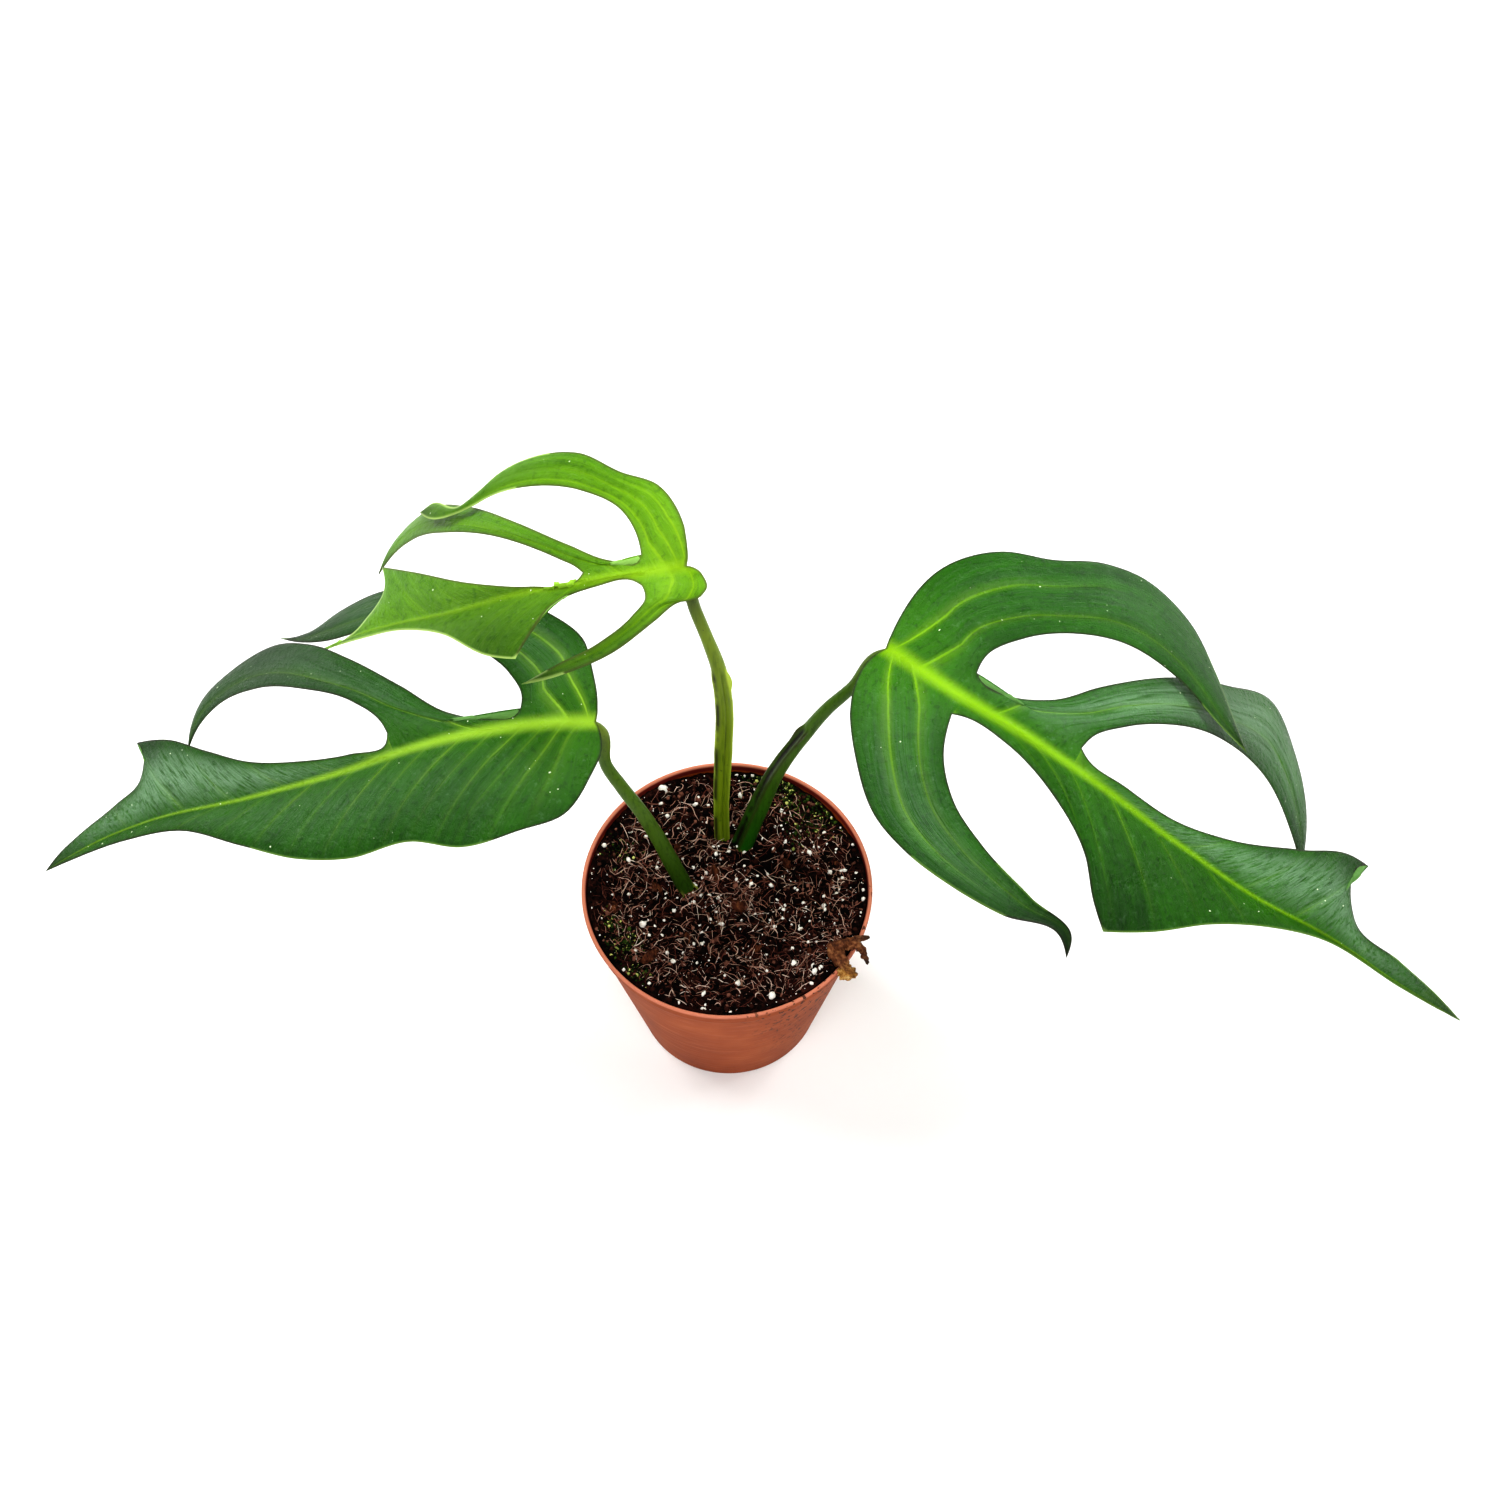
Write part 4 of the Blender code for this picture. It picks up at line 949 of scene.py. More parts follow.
STALK_COLOURS = {
    "right": (shade(36, 98, 10), shade(66, 96, 14), shade(80, 102, 22), shade(58, 66, 22),
              shade(16, 12, 8)),
    "middle": (shade(122, 144, 24), shade(112, 132, 18), shade(66, 82, 14), shade(176, 196, 76),
               shade(26, 24, 8)),
    "left": (shade(44, 76, 12), shade(76, 104, 18), shade(108, 126, 40), shade(132, 136, 62),
             shade(50, 56, 22)),
}
for name, stalk in STALKS.items():
    rod = stalk_mesh(name, stalk, blades[name])
    finish = stalk_finish("stalk_" + name, *STALK_COLOURS[name])
    make_piece(rod, finish, ("stalk_" + name,), crease=60)

# %% [markdown]
# ## Pot
# A thin moulded cone with a low collar and a rolled lip. Its half section is turned about the
# upright axis; the lip and the edges are rounded by close points in the section. The drainage
# holes are cut through the floor once the turned body is closed. Matt terracotta-coloured
# plastic, with a painted highlight that makes the lip a little paler, a painted shade that darkens
# the inside, and splashes of mix dried on to the front right.

# %% Turned pot
POT_HEIGHT = 88.0
COLLAR_FOOT, COLLAR_RADIUS = 79.5, 50.3
BASE_RADIUS, WALL = 35.0, 1.2
DRAIN_HOLES, DRAIN_RADIUS, DRAIN_CIRCLE = 6, 3.5, 24.0
DRILL_SIDES, DRILL_REACH = 32, 6.0


def wall_radius(z):
    """The outer radius of the conical wall at a height."""
    return BASE_RADIUS + (COLLAR_RADIUS - BASE_RADIUS) * np.asarray(z, float) / COLLAR_FOOT


def pot_section():
    """The half section, from the middle of the underside, out, up, over the lip and down inside."""
    rise = np.linspace(3.0, COLLAR_FOOT - 1.5, 26)
    fall = np.linspace(COLLAR_FOOT - 1.5, 4.0, 26)
    outside = [(0, 0), (16, 0), (28, 0), (33.6, 0), (34.4, 0.15), (34.95, 0.55), (35.3, 1.3)]
    collar = [(50.2, 78.9), (50.38, 79.5), (50.7, 80.0), (51.05, 80.5), (51.2, 81.4), (51.35, 84.0),
              (51.5, 86.0), (51.66, 86.35), (52.05, 86.45), (52.36, 86.62), (52.5, 87.0),
              (52.46, 87.45), (52.26, 87.82), (51.95, 88.0), (51.6, 87.96), (51.25, 87.75),
              (51.05, 87.4), (50.95, 86.9), (50.85, 86.0), (50.65, 83.5), (50.4, 81.6), (49.9, 80.8),
              (49.2, 80.1)]
    inside = [(34.35, 2.9), (34.0, 2.0), (33.3, 1.6), (32.0, 1.5), (27.6, 1.5), (14, 1.5), (0, 1.5)]
    return np.array(outside + list(zip(wall_radius(rise), rise)) + collar
                    + list(zip(wall_radius(fall) - WALL, fall)) + inside, float)


def turned(name, section, segments=240):
    """Spins a half section about the upright axis; the two ends lie on the axis and close it."""
    turn = 2 * np.pi * np.arange(segments) / segments
    r, z = section[:, :1], section[:, 1:]
    points = np.stack([r * np.cos(turn), r * np.sin(turn), z + 0 * turn], axis=-1).reshape(-1, 3)
    mesh = make_mesh(name, points, grid_faces(len(section), segments, around=True).tolist())
    merge_doubles(mesh, upward=False)
    return mesh


def drilled(mesh, centres, radius, depth):
    """Cuts upright round holes through a mesh and returns the result as a new mesh."""
    turn = 2 * np.pi * np.arange(DRILL_SIDES) / DRILL_SIDES
    disc = np.stack([radius * np.cos(turn), radius * np.sin(turn)], axis=-1)
    points, faces = [], []
    for number, (x, y) in enumerate(centres):
        for z in (-depth, depth):
            points.append(np.column_stack([disc + (x, y), np.full(DRILL_SIDES, z)]))
        low = 2 * number * DRILL_SIDES + np.arange(DRILL_SIDES)
        around = np.roll(low, -1)
        faces += np.stack([low, around, around + DRILL_SIDES, low + DRILL_SIDES], axis=1).tolist()
        faces += [low[::-1].tolist(), (low + DRILL_SIDES).tolist()]
    drill = bpy.data.objects.new("drill", make_mesh("drill", np.vstack(points), faces))
    body = bpy.data.objects.new("body", mesh)
    for made in (drill, body):
        bpy.context.scene.collection.objects.link(made)
    cut = body.modifiers.new("cut", "BOOLEAN")
    cut.operation, cut.solver, cut.object = "DIFFERENCE", "EXACT", drill
    seen = body.evaluated_get(bpy.context.evaluated_depsgraph_get())
    result = bpy.data.meshes.new_from_object(seen)
    result.name = mesh.name + "_drilled"
    for made in (drill, body):
        bpy.data.objects.remove(made)
    return result


# %% [markdown]
# The plastic is mottled and scuffed round its girth. Its inside is painted darker, as painted
# shade, and its lip paler, as a painted highlight. A point nearer the axis than the cone of the
# wall counts as inside.

# %% Pot finish and piece
plastic = Finish("terracotta_plastic", roughness=0.55, specular=0.15)
worn = plastic.noise(30.0, 5.0)
scuffed = plastic.noise(1.0, 3.0, 0.6, plastic.stretched((60.0, 60.0, 420.0)))
clay = plastic.ramp(worn, (0.30, shade(140, 66, 28)), (0.55, shade(156, 77, 34)),
                    (0.75, shade(170, 90, 44)))
rubbed = plastic.math("MULTIPLY", plastic.level(scuffed, 0.50, 0.78), 0.5)
clay = plastic.mix(rubbed, clay, shade(182, 104, 64))
axes = plastic.nodes.new("ShaderNodeSeparateXYZ")
plastic.links.new(plastic.place, axes.inputs[0])
east, north, upright = axes.outputs
from_axis = plastic.math("SQRT", plastic.math("ADD", plastic.math("MULTIPLY", east, east),
                                              plastic.math("MULTIPLY", north, north)))
taper = plastic.math("MULTIPLY", upright, (COLLAR_RADIUS - BASE_RADIUS) / COLLAR_FOOT)
cone = plastic.math("ADD", taper, (BASE_RADIUS - WALL / 2) * MM)
# Painted shade: the inner wall is darkened to a deep red.
inner_shade = plastic.math("LESS_THAN", from_axis, cone)
clay = plastic.mix(inner_shade, clay, shade(116, 42, 36))
# Painted highlight: the top of the lip is painted a paler pink.
lip = plastic.level(upright, 0.0868, 0.0877)
clay = plastic.mix(plastic.math("MULTIPLY", lip, 0.8), clay, shade(208, 138, 114))
to_front_right = plastic.math("SUBTRACT", east, plastic.math("MULTIPLY", north, 0.9))
splash_side = plastic.level(to_front_right, 0.045, 0.062)
drops = plastic.level(plastic.noise(420.0, 2.0, 0.6), 0.57, 0.62)
splashes = plastic.math("MULTIPLY", splash_side, drops)
grime = plastic.level(plastic.noise(260.0, 6.0, 0.7), 0.60, 0.72)
clay = plastic.mix(plastic.math("MULTIPLY", grime, 0.25), clay, shade(92, 48, 34))
clay = plastic.mix(plastic.math("MULTIPLY", splashes, 0.85), clay, shade(58, 36, 28))
plastic.colour(clay)
plastic.bump(plastic.math("ADD", worn, scuffed), 0.0004, 0.35)

angles = [2 * math.pi * (k + 0.5) / DRAIN_HOLES for k in range(DRAIN_HOLES)]
centres = [(DRAIN_CIRCLE * math.cos(a), DRAIN_CIRCLE * math.sin(a)) for a in angles]
pot_mesh = drilled(turned("pot_body", pot_section()), centres, DRAIN_RADIUS, DRILL_REACH)
make_piece(pot_mesh, plastic.material, ("pot",), crease=40)

# %% [markdown]
# ## Potting mix
# The mix is coarse and dark: peat crumbs, coconut fibre, white perlite and some moss. Its body is
# one closed plug under a rough top. Crumbs, fibres, grains and moss are separate small bodies laid
# on that same height, thousands at once: one small shape is copied, turned, scaled and roughened
# by arrays of random numbers. The top is not level: it is banked up a little towards the front,
# pressed down in a hollow on the right, and lumpy where chips lie beneath.

# %% The height of the mix
MIX_LEVEL, MIX_SLOPE, MIX_RADIUS = 83.6, -0.024, 50.4
HOLLOWS = [(15.6, 11.2, 6.0, -4.5), (36, 31, 9.0, -1.6), (-3, 12, 5.0, -1.2), (24, -18, 6.0, -0.9)]
LUMPS = [(-4.4, 6.8, 3.6, 1.4), (-41, -8, 4.5, 1.6), (-27, -28, 5.5, 1.6), (3.5, -5, 4.0, 1.2),
         (38, -22, 5.0, 1.4), (-12, -14, 3.5, 0.9), (10, -38, 6.0, 0.8)]


def mix_height(x, y):
    """The rough top of the mix: its slope, waves, hollows and lumps, and crumbs of four sizes."""
    x, y = np.asarray(x, float), np.asarray(y, float)
    z = MIX_LEVEL + MIX_SLOPE * y + 0.5 * np.sin(x / 9 + 1) * np.cos(y / 11)
    z = z + 2.5 * (np.hypot(x, y) / MIX_RADIUS) ** 5
    for cx, cy, spread, rise in HOLLOWS + LUMPS:
        z = z + rise * np.exp(-((x - cx) ** 2 + (y - cy) ** 2) / spread**2)
    for cell, size, seed in ((7.0, 1.5, 11), (3.1, 1.3, 12), (1.5, 0.9, 13), (0.8, 0.45, 14)):
        z = z + size * (cloud(x, y, cell, seed) - 0.5)
    return np.minimum(z, POT_HEIGHT - 0.6)


# %% [markdown]
# The plug fills the pot from its floor to the rough top. It stays a hair inside the wall, but its
# edge bites into the collar, so that no gap shows there. Its top is a polar grid, finer towards the
# wall, and its colour carries painted shade that darkens it where the mix is sunken.

# %% The plug of mix


def plug_mesh(rings=170, segments=400):
    """A closed plug: the floor, the wall inside the pot, and a fine polar grid on top."""
    turn = 2 * np.pi * np.arange(segments) / segments
    top_r = MIX_RADIUS * np.linspace(1, 0, rings + 1) ** 0.8
    x, y = top_r[:, None] * np.cos(turn), top_r[:, None] * np.sin(turn)
    top = np.stack([x, y, mix_height(x, y)], axis=-1)
    low_z = np.array([1.8, 1.8, 1.8, 3.3, 30.0, 79.0, 80.9])
    low_r = np.array([0.0, 16.0, 32.2, 34.0, 39.0, 48.6, MIX_RADIUS])
    low = np.stack([low_r[:, None] * np.cos(turn), low_r[:, None] * np.sin(turn),
                    low_z[:, None] + 0 * turn], axis=-1)
    points = np.vstack([low, top]).reshape(-1, 3)
    above = mix_height(x, y) - MIX_LEVEL - MIX_SLOPE * y
    depth = np.concatenate([np.zeros((len(low), segments)), above])
    mesh = make_mesh("mix_plug", points, grid_faces(len(low) + len(top), segments, around=True).tolist(),
                     {"depth": depth})
    merge_doubles(mesh, upward=False)
    return mesh


earth = Finish("potting_mix", roughness=0.95, specular=0.08)
peat = earth.ramp(earth.noise(260.0, 6.0, 0.7), (0.36, shade(6, 4, 4)), (0.50, shade(20, 11, 10)),
                  (0.62, shade(50, 27, 23)), (0.72, shade(96, 58, 50)))
brown = earth.level(earth.noise(75.0, 3.0), 0.50, 0.66)
peat = earth.mix(earth.math("MULTIPLY", brown, 0.35), peat, shade(66, 30, 22))
# Painted shade: where the mix lies sunken it is darkened nearly to black.
painted_shade = earth.math("SUBTRACT", 1.0, earth.level(earth.stored("depth"), -2.2, 0.6))
peat = earth.mix(earth.math("MULTIPLY", painted_shade, 0.9), peat, shade(8, 6, 6))
earth.colour(peat)
earth.bump(earth.noise(900.0, 4.0, 0.7), 0.0006, 0.9)
make_piece(plug_mesh(), earth.material, ("potting_mix",))

# %% [markdown]
# Crumbs, grains and moss are all the same thing: a small ball copied many times, each copy turned,
# scaled and dented by random numbers. They are spread over the whole top or in soft patches, and
# they keep out of the deepest hollow.

# %% Small bodies by the thousand


def ball(levels):
    """A unit icosahedron, each face split in four as often as asked, with its points pushed out."""
    g = (1 + 5**0.5) / 2
    points = np.array([(-1, g, 0), (1, g, 0), (-1, -g, 0), (1, -g, 0), (0, -1, g), (0, 1, g), (0, -1, -g),
                       (0, 1, -g), (g, 0, -1), (g, 0, 1), (-g, 0, -1), (-g, 0, 1)], float)
    points /= np.linalg.norm(points[0])
    faces = np.array([(0, 11, 5), (0, 5, 1), (0, 1, 7), (0, 7, 10), (0, 10, 11), (1, 5, 9), (5, 11, 4),
                      (11, 10, 2), (10, 7, 6), (7, 1, 8), (3, 9, 4), (3, 4, 2), (3, 2, 6), (3, 6, 8),
                      (3, 8, 9), (4, 9, 5), (2, 4, 11), (6, 2, 10), (8, 6, 7), (9, 8, 1)])
    for _ in range(levels):
        a, b, c = points[faces[:, 0]], points[faces[:, 1]], points[faces[:, 2]]
        corners = np.stack([a, b, c, a + b, b + c, c + a], axis=1).reshape(-1, 3)
        corners /= np.linalg.norm(corners, axis=1)[:, None]
        points, place = np.unique(np.round(corners, 6), axis=0, return_inverse=True)
        k = place.reshape(-1, 6)
        faces = np.concatenate([k[:, [0, 3, 5]], k[:, [3, 1, 4]], k[:, [5, 4, 2]], k[:, [3, 4, 5]]])
    return points, faces


def random_turns(rng, count):
    """Rotation matrices drawn evenly from all turns."""
    q = rng.normal(size=(count, 4))
    w, x, y, z = (q / np.linalg.norm(q, axis=1)[:, None]).T
    return np.stack([1 - 2 * (y * y + z * z), 2 * (x * y - z * w), 2 * (x * z + y * w),
                     2 * (x * y + z * w), 1 - 2 * (x * x + z * z), 2 * (y * z - x * w),
                     2 * (x * z - y * w), 2 * (y * z + x * w), 1 - 2 * (x * x + y * y)],
                    axis=1).reshape(-1, 3, 3)


def strewn(name, rng, shape, centres, sizes, uneven, tint):
    """Copies of a small shape: every copy has its own turn, its three sizes and its own dents."""
    base, faces = shape
    count = len(centres)
    dents = 1 + uneven * (rng.random((count, len(base))) - 0.5)
    points = base[None] * dents[..., None] * sizes[:, None, :]
    points = np.einsum("nij,nvj->nvi", random_turns(rng, count), points) + centres[:, None, :]
    faces = faces[None] + (np.arange(count) * len(base))[:, None, None]
    return make_mesh(name, points.reshape(-1, 3), faces.reshape(-1, 3).tolist(),
                     {"tint": np.repeat(tint, len(base))})


def on_disc(rng, count, radius):
    """Places spread evenly over a disc, but for the deepest hollow, which stays bare."""
    r, a = radius * np.sqrt(rng.random(count)), 2 * np.pi * rng.random(count)
    x, y = r * np.cos(a), r * np.sin(a)
    bare = np.hypot(x - HOLLOWS[0][0], y - HOLLOWS[0][1]) < 0.8 * HOLLOWS[0][2]
    return x[~bare], y[~bare]


def in_patches(rng, patches):
    """Places scattered round the middle of each patch, given as x, y, spread and count."""
    middle = np.concatenate([np.tile((x, y, s), (n, 1)) for x, y, s, n in patches])
    spot = middle[:, :2] + rng.normal(size=(len(middle), 2)) * middle[:, 2:]
    spot *= np.minimum(1, (MIX_RADIUS - 1.2) / np.linalg.norm(spot, axis=1))[:, None]
    return spot[:, 0], spot[:, 1]


# %% [markdown]
# Peat crumbs cover the top. Most are nearly black, and a few are tan.

# %% Crumbs of peat and bark
rng = np.random.default_rng(20)
x, y = on_disc(rng, 5200, MIX_RADIUS - 0.9)
size = 0.28 + 0.75 * rng.random(len(x)) ** 2.5
crumb_sizes = size[:, None] * (0.6 + 0.8 * rng.random((len(x), 3)))
crumb_finish = Finish("crumbs", roughness=0.95, specular=0.1)
crumb_finish.colour(crumb_finish.mix(
    crumb_finish.math("MULTIPLY", crumb_finish.noise(400.0), 0.5),
    crumb_finish.ramp(crumb_finish.stored("tint"), (0.0, shade(8, 5, 5)), (0.50, shade(24, 13, 11)),
                      (0.84, shade(64, 33, 26)), (0.97, shade(150, 104, 88))), shade(10, 6, 6)))
make_piece(strewn("crumbs", rng, ball(0), np.column_stack([x, y, mix_height(x, y) + 0.15 * size]),
                  crumb_sizes, 0.5, rng.random(len(x))), crumb_finish.material)

# %% [markdown]
# Perlite grains are white and chalky. The large ones lie at places of their own, and the first
# twelve of them stand for solids; the small ones are sprinkled in patches and thinly all over.

# %% Perlite
PERLITE = [(-30, -14, 3.8), (-19, -29, 3.0), (4, -38, 3.6), (24, -30, 3.2), (35, -6, 3.0),
           (30, 16, 3.4), (-2, -14, 3.2), (-36, 12, 3.0), (16, 2, 2.8), (-12, 36, 3.2),
           (-8, -42, 2.8), (20, 34, 3.0), (-45, 18, 3.2), (-24, 42, 4.6), (4.6, 40, 3.4),
           (3.9, 18.2, 2.6), (16, -43.5, 3.8), (31, -34, 3.2)]
PERLITE_PATCHES = [(-9.8, 2.4, 2.2, 12), (-5.4, -6.0, 3.2, 22), (31, -32, 3.6, 18), (44, 0, 3.5, 16),
                   (24, 22, 7.0, 30), (42, -14, 4.0, 12), (-20, 30, 9.0, 22), (-6, -30, 9.0, 24),
                   (0, 0, 26.0, 400), (30, -8, 12.0, 60)]
rng = np.random.default_rng(21)
px, py = in_patches(rng, PERLITE_PATCHES)
big = np.array(PERLITE)
x, y = np.concatenate([big[:, 0], px]), np.concatenate([big[:, 1], py])
size = np.concatenate([big[:, 2] * 0.36, 0.18 + 0.70 * rng.random(len(px)) ** 3])
grains = strewn("perlite", rng, ball(1), np.column_stack([x, y, mix_height(x, y) + 0.45 * size]),
                size[:, None] * (0.6 + 0.6 * rng.random((len(x), 3))), 0.45, rng.random(len(x)))
white = Finish("perlite", roughness=0.85, specular=0.2)
stained = white.level(white.noise(700.0), 0.5, 0.75)
white.colour(white.mix(stained, shade(238, 234, 226), shade(205, 192, 176)))
white.bump(white.noise(1500.0, 2.0), 0.0004, 0.6)
make_piece(grains, white.material, [f"perlite_{k:02d}" for k in range(1, 13)])

# %% [markdown]
# Coconut fibres and dry roots are thin threads with three-sided sections. All threads of a kind
# are made at once: their headings, arches and thicknesses are arrays with one row for each.

# %% Fibres and fine roots


def strands(rng, count, reach, thick, bend, lift, steps=7, patches=None):
    """Thin curved threads lying on the mix: a heading that bends at a steady rate and wavers,
    a low arch, and a three-sided section that thins to both ends."""
    x, y = on_disc(rng, count, MIX_RADIUS - 2) if patches is None else in_patches(rng, patches)
    count = len(x)
    length = reach[0] + (reach[1] - reach[0]) * rng.random((count, 1)) ** 1.6
    turn = bend * rng.normal(size=(count, 1)) / steps
    heading = 2 * np.pi * rng.random((count, 1)) + turn * np.arange(steps + 1)
    heading = heading + np.cumsum(0.22 * rng.normal(size=(count, steps + 1)), axis=1)
    px = x[:, None] + np.cumsum(np.cos(heading), axis=1) * length / steps
    py = y[:, None] + np.cumsum(np.sin(heading), axis=1) * length / steps
    inside = np.hypot(px, py).max(axis=1) < MIX_RADIUS - 0.8
    px, py, length = px[inside], py[inside], length[inside]
    along = np.linspace(0, 1, steps + 1)[None]
    ground = mix_height(px, py)
    ground = 0.5 * ground + 0.5 * (ground[:, :1] * (1 - along) + ground[:, -1:] * along)
    arch = lift * rng.random((len(px), 1)) ** 2 * np.sin(np.pi * along)
    line = np.stack([px, py, np.maximum(ground, mix_height(px, py)) + 0.12 + arch], axis=-1)
    ahead = np.gradient(line, axis=1)
    ahead /= np.linalg.norm(ahead, axis=2)[..., None]
    side = np.cross(ahead, (0.0, 0.0, 1.0))
    side /= np.linalg.norm(side, axis=2)[..., None]
    over = np.cross(side, ahead)
    radius = thick[0] + (thick[1] - thick[0]) * rng.random((len(px), 1)) ** 2
    radius = radius * (1 - 0.8 * (2 * along - 1) ** 4)
    angle = np.array([0.5, 2.6, 4.7])
    ring = np.cos(angle)[:, None] * side[:, :, None] + np.sin(angle)[:, None] * over[:, :, None]
    points = line[:, :, None] + ring * radius[:, :, None, None]
    faces = grid_faces(steps + 1, 3, around=True)[:, ::-1]
    start = np.arange(len(px)) * 3 * (steps + 1)
    walls = (faces[None] + start[:, None, None]).reshape(-1, 4).tolist()
    ends = np.array([[0, 1, 2], [3 * steps + 2, 3 * steps + 1, 3 * steps]])
    ends = (ends[None] + start[:, None, None]).reshape(-1, 3).tolist()
    return points.reshape(-1, 3), walls + ends, len(px), 3 * (steps + 1)


def strand_piece(name, rng, finish, slot, stands_for=(), **choices):
    """A piece made of many strands, each with a random tint."""
    points, faces, count, each = strands(rng, **choices)
    tint = np.repeat(rng.random(count), each)
    make_piece(make_mesh(name, points, faces, {"tint": tint}), finish, stands_for)


def fibre_finish(name, *stops):
    """A dry thread's colours, picked by its tint and browned in places."""
    made = Finish(name, roughness=0.8, specular=0.2)
    made.colour(made.mix(made.math("MULTIPLY", made.noise(500.0), 0.35),
                         made.ramp(made.stored("tint"), *stops), shade(40, 22, 18)))
    return made.material


# %% [markdown]
# Brown coconut fibres lie everywhere and thicken into mats in a few places. The fine roots are
# paler and straighter.

# %% Three kinds of thread
coir = fibre_finish("coir", (0.0, shade(50, 22, 18)), (0.40, shade(110, 58, 46)),
                    (0.72, shade(178, 130, 112)), (1.0, shade(240, 212, 196)))
pale_root = fibre_finish("fine_roots", (0.0, shade(150, 116, 98)), (0.6, shade(190, 160, 142)),
                         (1.0, shade(244, 228, 216)))
strand_piece("coir_fibres", np.random.default_rng(22), coir, "dry_root", (), count=1500,
             reach=(2.5, 11.0), thick=(0.09, 0.24), bend=1.3, lift=1.3)
FIBRE_MATS = [(-32, 12, 4.0, 60), (4, -4, 4.5, 110), (-27, -28, 4.0, 70), (36, -24, 5.0, 110),
              (-4.4, 6.8, 3.0, 40), (-41, -8, 3.0, 40), (24, -42, 3.0, 30), (14, -30, 7.0, 60)]
strand_piece("fibre_mats", np.random.default_rng(23), coir, "dry_root", (), count=0, reach=(3.0, 9.0),
             thick=(0.08, 0.20), bend=2.4, lift=2.0, patches=FIBRE_MATS)
strand_piece("fine_roots", np.random.default_rng(24), pale_root, "dry_root",
             [f"root_fibre_{k}" for k in (1, 2, 3)], count=380, reach=(3.0, 10.0),
             thick=(0.10, 0.24), bend=0.5, lift=1.6)

# %% [markdown]
# Bark chips are flattened, dented balls half sunk in the mix, with a grain along them.

# %% Bark chips
BARK = [(-26, 2, 7.0), (10, -24, 6.0), (22, 12, 6.5), (-14, -20, 5.5), (-4.4, 6.8, 8.0),
        (-41, -8, 7.0), (-27, -28, 9.0), (3.2, -6, 8.0), (30, -26, 5.0), (-18, 18, 5.0),
        (12, 30, 4.5), (40, 12, 4.5)]
rng = np.random.default_rng(25)
chips = np.array(BARK)
bark = Finish("bark", roughness=0.9, specular=0.12)
grain = bark.noise(1.0, 4.0, 0.6, bark.stretched((900.0, 300.0, 900.0)))
bark.colour(bark.ramp(grain, (0.35, shade(40, 22, 16)), (0.55, shade(86, 48, 32)),
                      (0.72, shade(128, 84, 56))))
bark.bump(grain, 0.0008, 1.0)
x, y, length = chips.T
places = np.column_stack([x, y, mix_height(x, y) - 0.10 * length])
sizes = length[:, None] * np.array([[0.5, 0.30, 0.22]])
make_piece(strewn("bark_chips", rng, ball(2), places, sizes, 0.16, rng.random(len(chips))),
           bark.material, [f"bark_chip_{k}" for k in range(1, 5)])

# %% [markdown]
# Moss grows in soft cushions near the wall: tiny green bodies, a few of them pale.

# %% Moss
MOSS = [(22, 42, 4.0, 380), (33, 31, 5.0, 420), (-36, -22, 3.0, 300), (-41, -14, 2.5, 120),
        (-31, -34, 2.5, 110), (-38, 16, 3.5, 120), (10, 45, 3.0, 120), (26, 24, 3.0, 60)]
rng = np.random.default_rng(26)
x, y = in_patches(rng, MOSS)
size = 0.22 + 0.45 * rng.random(len(x)) ** 2
moss = Finish("moss", roughness=0.9, specular=0.1)
moss.colour(moss.ramp(moss.stored("tint"), (0.0, shade(12, 20, 8)), (0.6, shade(34, 52, 18)),
                      (0.88, shade(70, 90, 34)), (0.97, shade(206, 208, 130))))
places = np.column_stack([x, y, mix_height(x, y) + 0.3 * size])
sizes = size[:, None] * (0.6 + 0.9 * rng.random((len(x), 3)))
make_piece(strewn("moss", rng, ball(0), places, sizes, 0.6, rng.random(len(x))), moss.material)

# %% [markdown]
# ## Husk on the rim
# A scrap of dry root and husk lies over the front right of the rim: a crumpled strip that ends in
# a dark prong, a second prong that curls down outside, and a golden knob that hangs over the lip.
# Swept rods with a strongly wavering section make the strips; a dented ball makes the knob.

# %% Husk
HUSK_ROUTE = [(43.6, -35.8, 86.4), (42.6, -34.8, 88.6), (40.6, -32.4, 90.2), (38.6, -27.4, 89.6),
              (42.0, -24.6, 90.4), (46.0, -23.4, 90.6), (50.6, -22.0, 90.0)]
HUSK_DIAMETERS = [3.0, 4.2, 4.8, 5.8, 4.6, 2.8, 0.9]
PRONG_ROUTE = [(42.0, -25.5, 90.0), (45.5, -25.8, 90.6), (48.0, -27.0, 89.6), (49.0, -29.0, 87.6),
               (50.0, -30.2, 85.6)]
PRONG_DIAMETERS = [4.0, 3.2, 2.6, 2.0, 1.2]


def crumpled(route, diameters, seed, rows=64, sides=20):
    """A rod whose section is flattened, folded and dented."""
    dense = smooth_line(np.array(route, float))
    share = np.linspace(0, 1, rows)
    thick = np.interp(share, length_shares(dense)[::PER_SPAN], diameters) / 2
    angle = np.linspace(-np.pi, np.pi, sides, endpoint=False)[None, :]
    folds = 0.22 * np.cos(3 * angle + 9 * share[:, None])
    folds = folds + 0.16 * np.cos(5 * angle - 14 * share[:, None])
    dents = 0.7 * (cloud(share[:, None] * 60, np.cos(angle) * 4 + 20, 3.0, seed) - 0.5)
    radii = thick[:, None] * (0.85 + folds + dents)
    points, faces = swept(read_line(dense, share), (0.1, 0.2, 1.0), radii)
    return points, faces, np.broadcast_to(share[:, None], radii.shape).ravel()


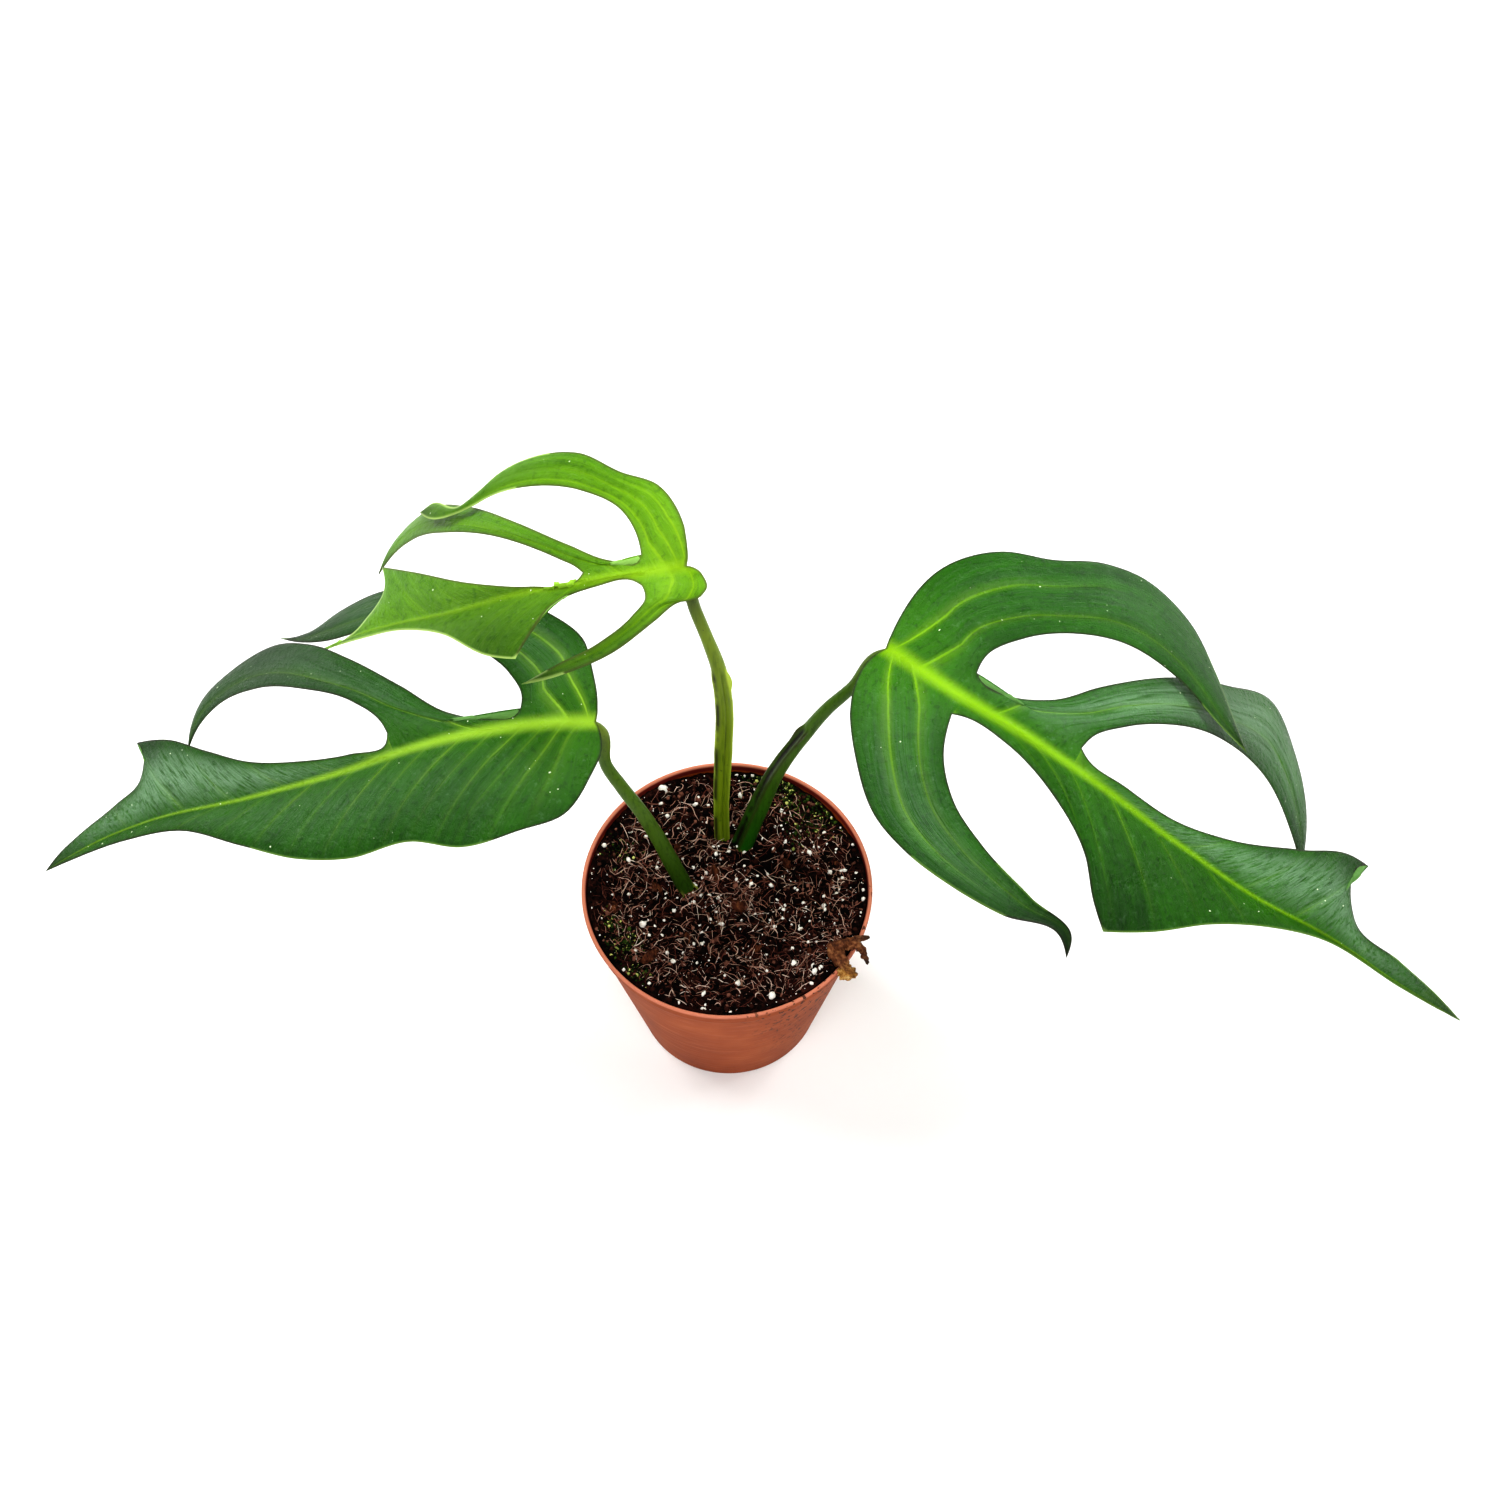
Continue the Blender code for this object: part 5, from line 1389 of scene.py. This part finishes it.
def husk_mesh():
    """The strip, the prong and the knob as one piece."""
    strip = crumpled(HUSK_ROUTE, HUSK_DIAMETERS, 31)
    prong = crumpled(PRONG_ROUTE, PRONG_DIAMETERS, 32)
    base, faces = ball(3)
    dents = 1 + 0.5 * (cloud(base[:, 0] * 9 + 30, base[:, 1] * 9 + base[:, 2] * 5, 2.0, 33) - 0.5)
    knob = base * dents[:, None] * (3.4, 2.9, 2.5) + (42.3, -35.2, 87.9)
    points = np.vstack([strip[0], prong[0], knob])
    first, second = len(strip[0]), len(strip[0]) + len(prong[0])
    moved = [[v + first for v in face] for face in prong[1]]
    faces = strip[1] + moved + (faces + second).tolist()
    tip = np.concatenate([np.clip((strip[2] - 0.75) / 0.25, 0, 1),
                          np.clip((prong[2] - 0.6) / 0.4, 0, 1), np.zeros(len(knob))])
    gold = np.concatenate([np.clip(1 - strip[2] / 0.25, 0, 1), np.zeros(len(prong[0])),
                           np.ones(len(knob))])
    return make_mesh("husk_scrap", points, faces, {"tip": tip, "gold": gold})


# %% [markdown]
# The husk is dry and creased: brown, golden at the knob, and nearly black at the prongs' ends.

# %% Husk finish and piece
husk = Finish("dry_husk", roughness=0.8, specular=0.25)
creases = husk.noise(520.0, 5.0, 0.7)
skin = husk.ramp(creases, (0.34, shade(60, 32, 20)), (0.50, shade(112, 68, 42)), (0.68, shade(164, 116, 78)))
golden = husk.ramp(creases, (0.36, shade(96, 62, 28)), (0.52, shade(168, 122, 62)),
                   (0.68, shade(222, 190, 130)))
skin = husk.mix(husk.stored("gold"), skin, golden)
skin = husk.mix(husk.math("MULTIPLY", husk.stored("tip"), 0.85), skin, shade(48, 42, 38))
husk.colour(skin)
husk.bump(creases, 0.0009, 1.0)
make_piece(husk_mesh(), husk.material, ("husk",))

# %% [markdown]
# ## Floor, light and camera
# A pale floor, two soft panels high behind the plant, one to each side, whose reflections lay a
# satin gleam on the parts of the blades that fall away to the back, a wide soft light in front,
# and a camera that looks down at the plant from the front.

# %% Stage


def floor_and_lights():
    """The pale floor, two panels behind to the sides and a soft light in front."""
    finish = Finish("pale_floor", roughness=0.9, specular=0.1)
    finish.colour(finish.ramp(finish.noise(3.0), (0.3, (0.86, 0.86, 0.86)), (0.7, (0.90, 0.90, 0.90))))
    bpy.ops.mesh.primitive_plane_add(size=8.0, location=(0, 0, 0))
    floor = bpy.context.active_object
    floor.name = "floor"
    floor.data.materials.append(finish.material)
    for name, place, aim, width, height, watts in (
            ("right_panel", (1.45, 0.78, 1.75), (0.0, 0.0, 0.15), 1.25, 1.15, 33.0),
            ("left_panel", (-1.45, 0.78, 1.75), (0.0, 0.0, 0.15), 1.25, 1.15, 40.0),
            ("front_key", (-0.10, -1.5, 2.3), (0.0, 0.0, 0.05), 2.2, 1.3, 40.0)):
        light = bpy.data.lights.new(name, "AREA")
        light.shape, light.size, light.size_y, light.energy = "RECTANGLE", width, height, watts
        lamp = bpy.data.objects.new(name, light)
        bpy.context.scene.collection.objects.link(lamp)
        lamp.location = place
        away = np.array(aim) - np.array(place)
        lamp.rotation_mode = "QUATERNION"
        lamp.rotation_quaternion = Vector(away.tolist()).to_track_quat("-Z", "Y")
    world = bpy.data.worlds.new("studio")
    world.use_nodes = True
    world.node_tree.nodes["Background"].inputs["Color"].default_value = (1.0, 1.0, 1.0, 1.0)
    world.node_tree.nodes["Background"].inputs["Strength"].default_value = 0.15
    bpy.context.scene.world = world
    bpy.context.scene.view_settings.view_transform = "Standard"
    bpy.context.scene.view_settings.look = "High Contrast"


floor_and_lights()

# %% [markdown]
# The camera stands in front and looks down on the plant.

# %% Camera
camera = bpy.data.objects.new("camera", bpy.data.cameras.new("camera"))
camera.data.lens, camera.data.sensor_width = 50.0, 36.0
camera.location = (0.0083, -0.3607, 0.7486)
LOOK_DOWN = 57.65
camera.rotation_euler = (math.radians(90 - LOOK_DOWN), 0.0, 0.0)
bpy.context.scene.collection.objects.link(camera)
bpy.context.scene.camera = camera
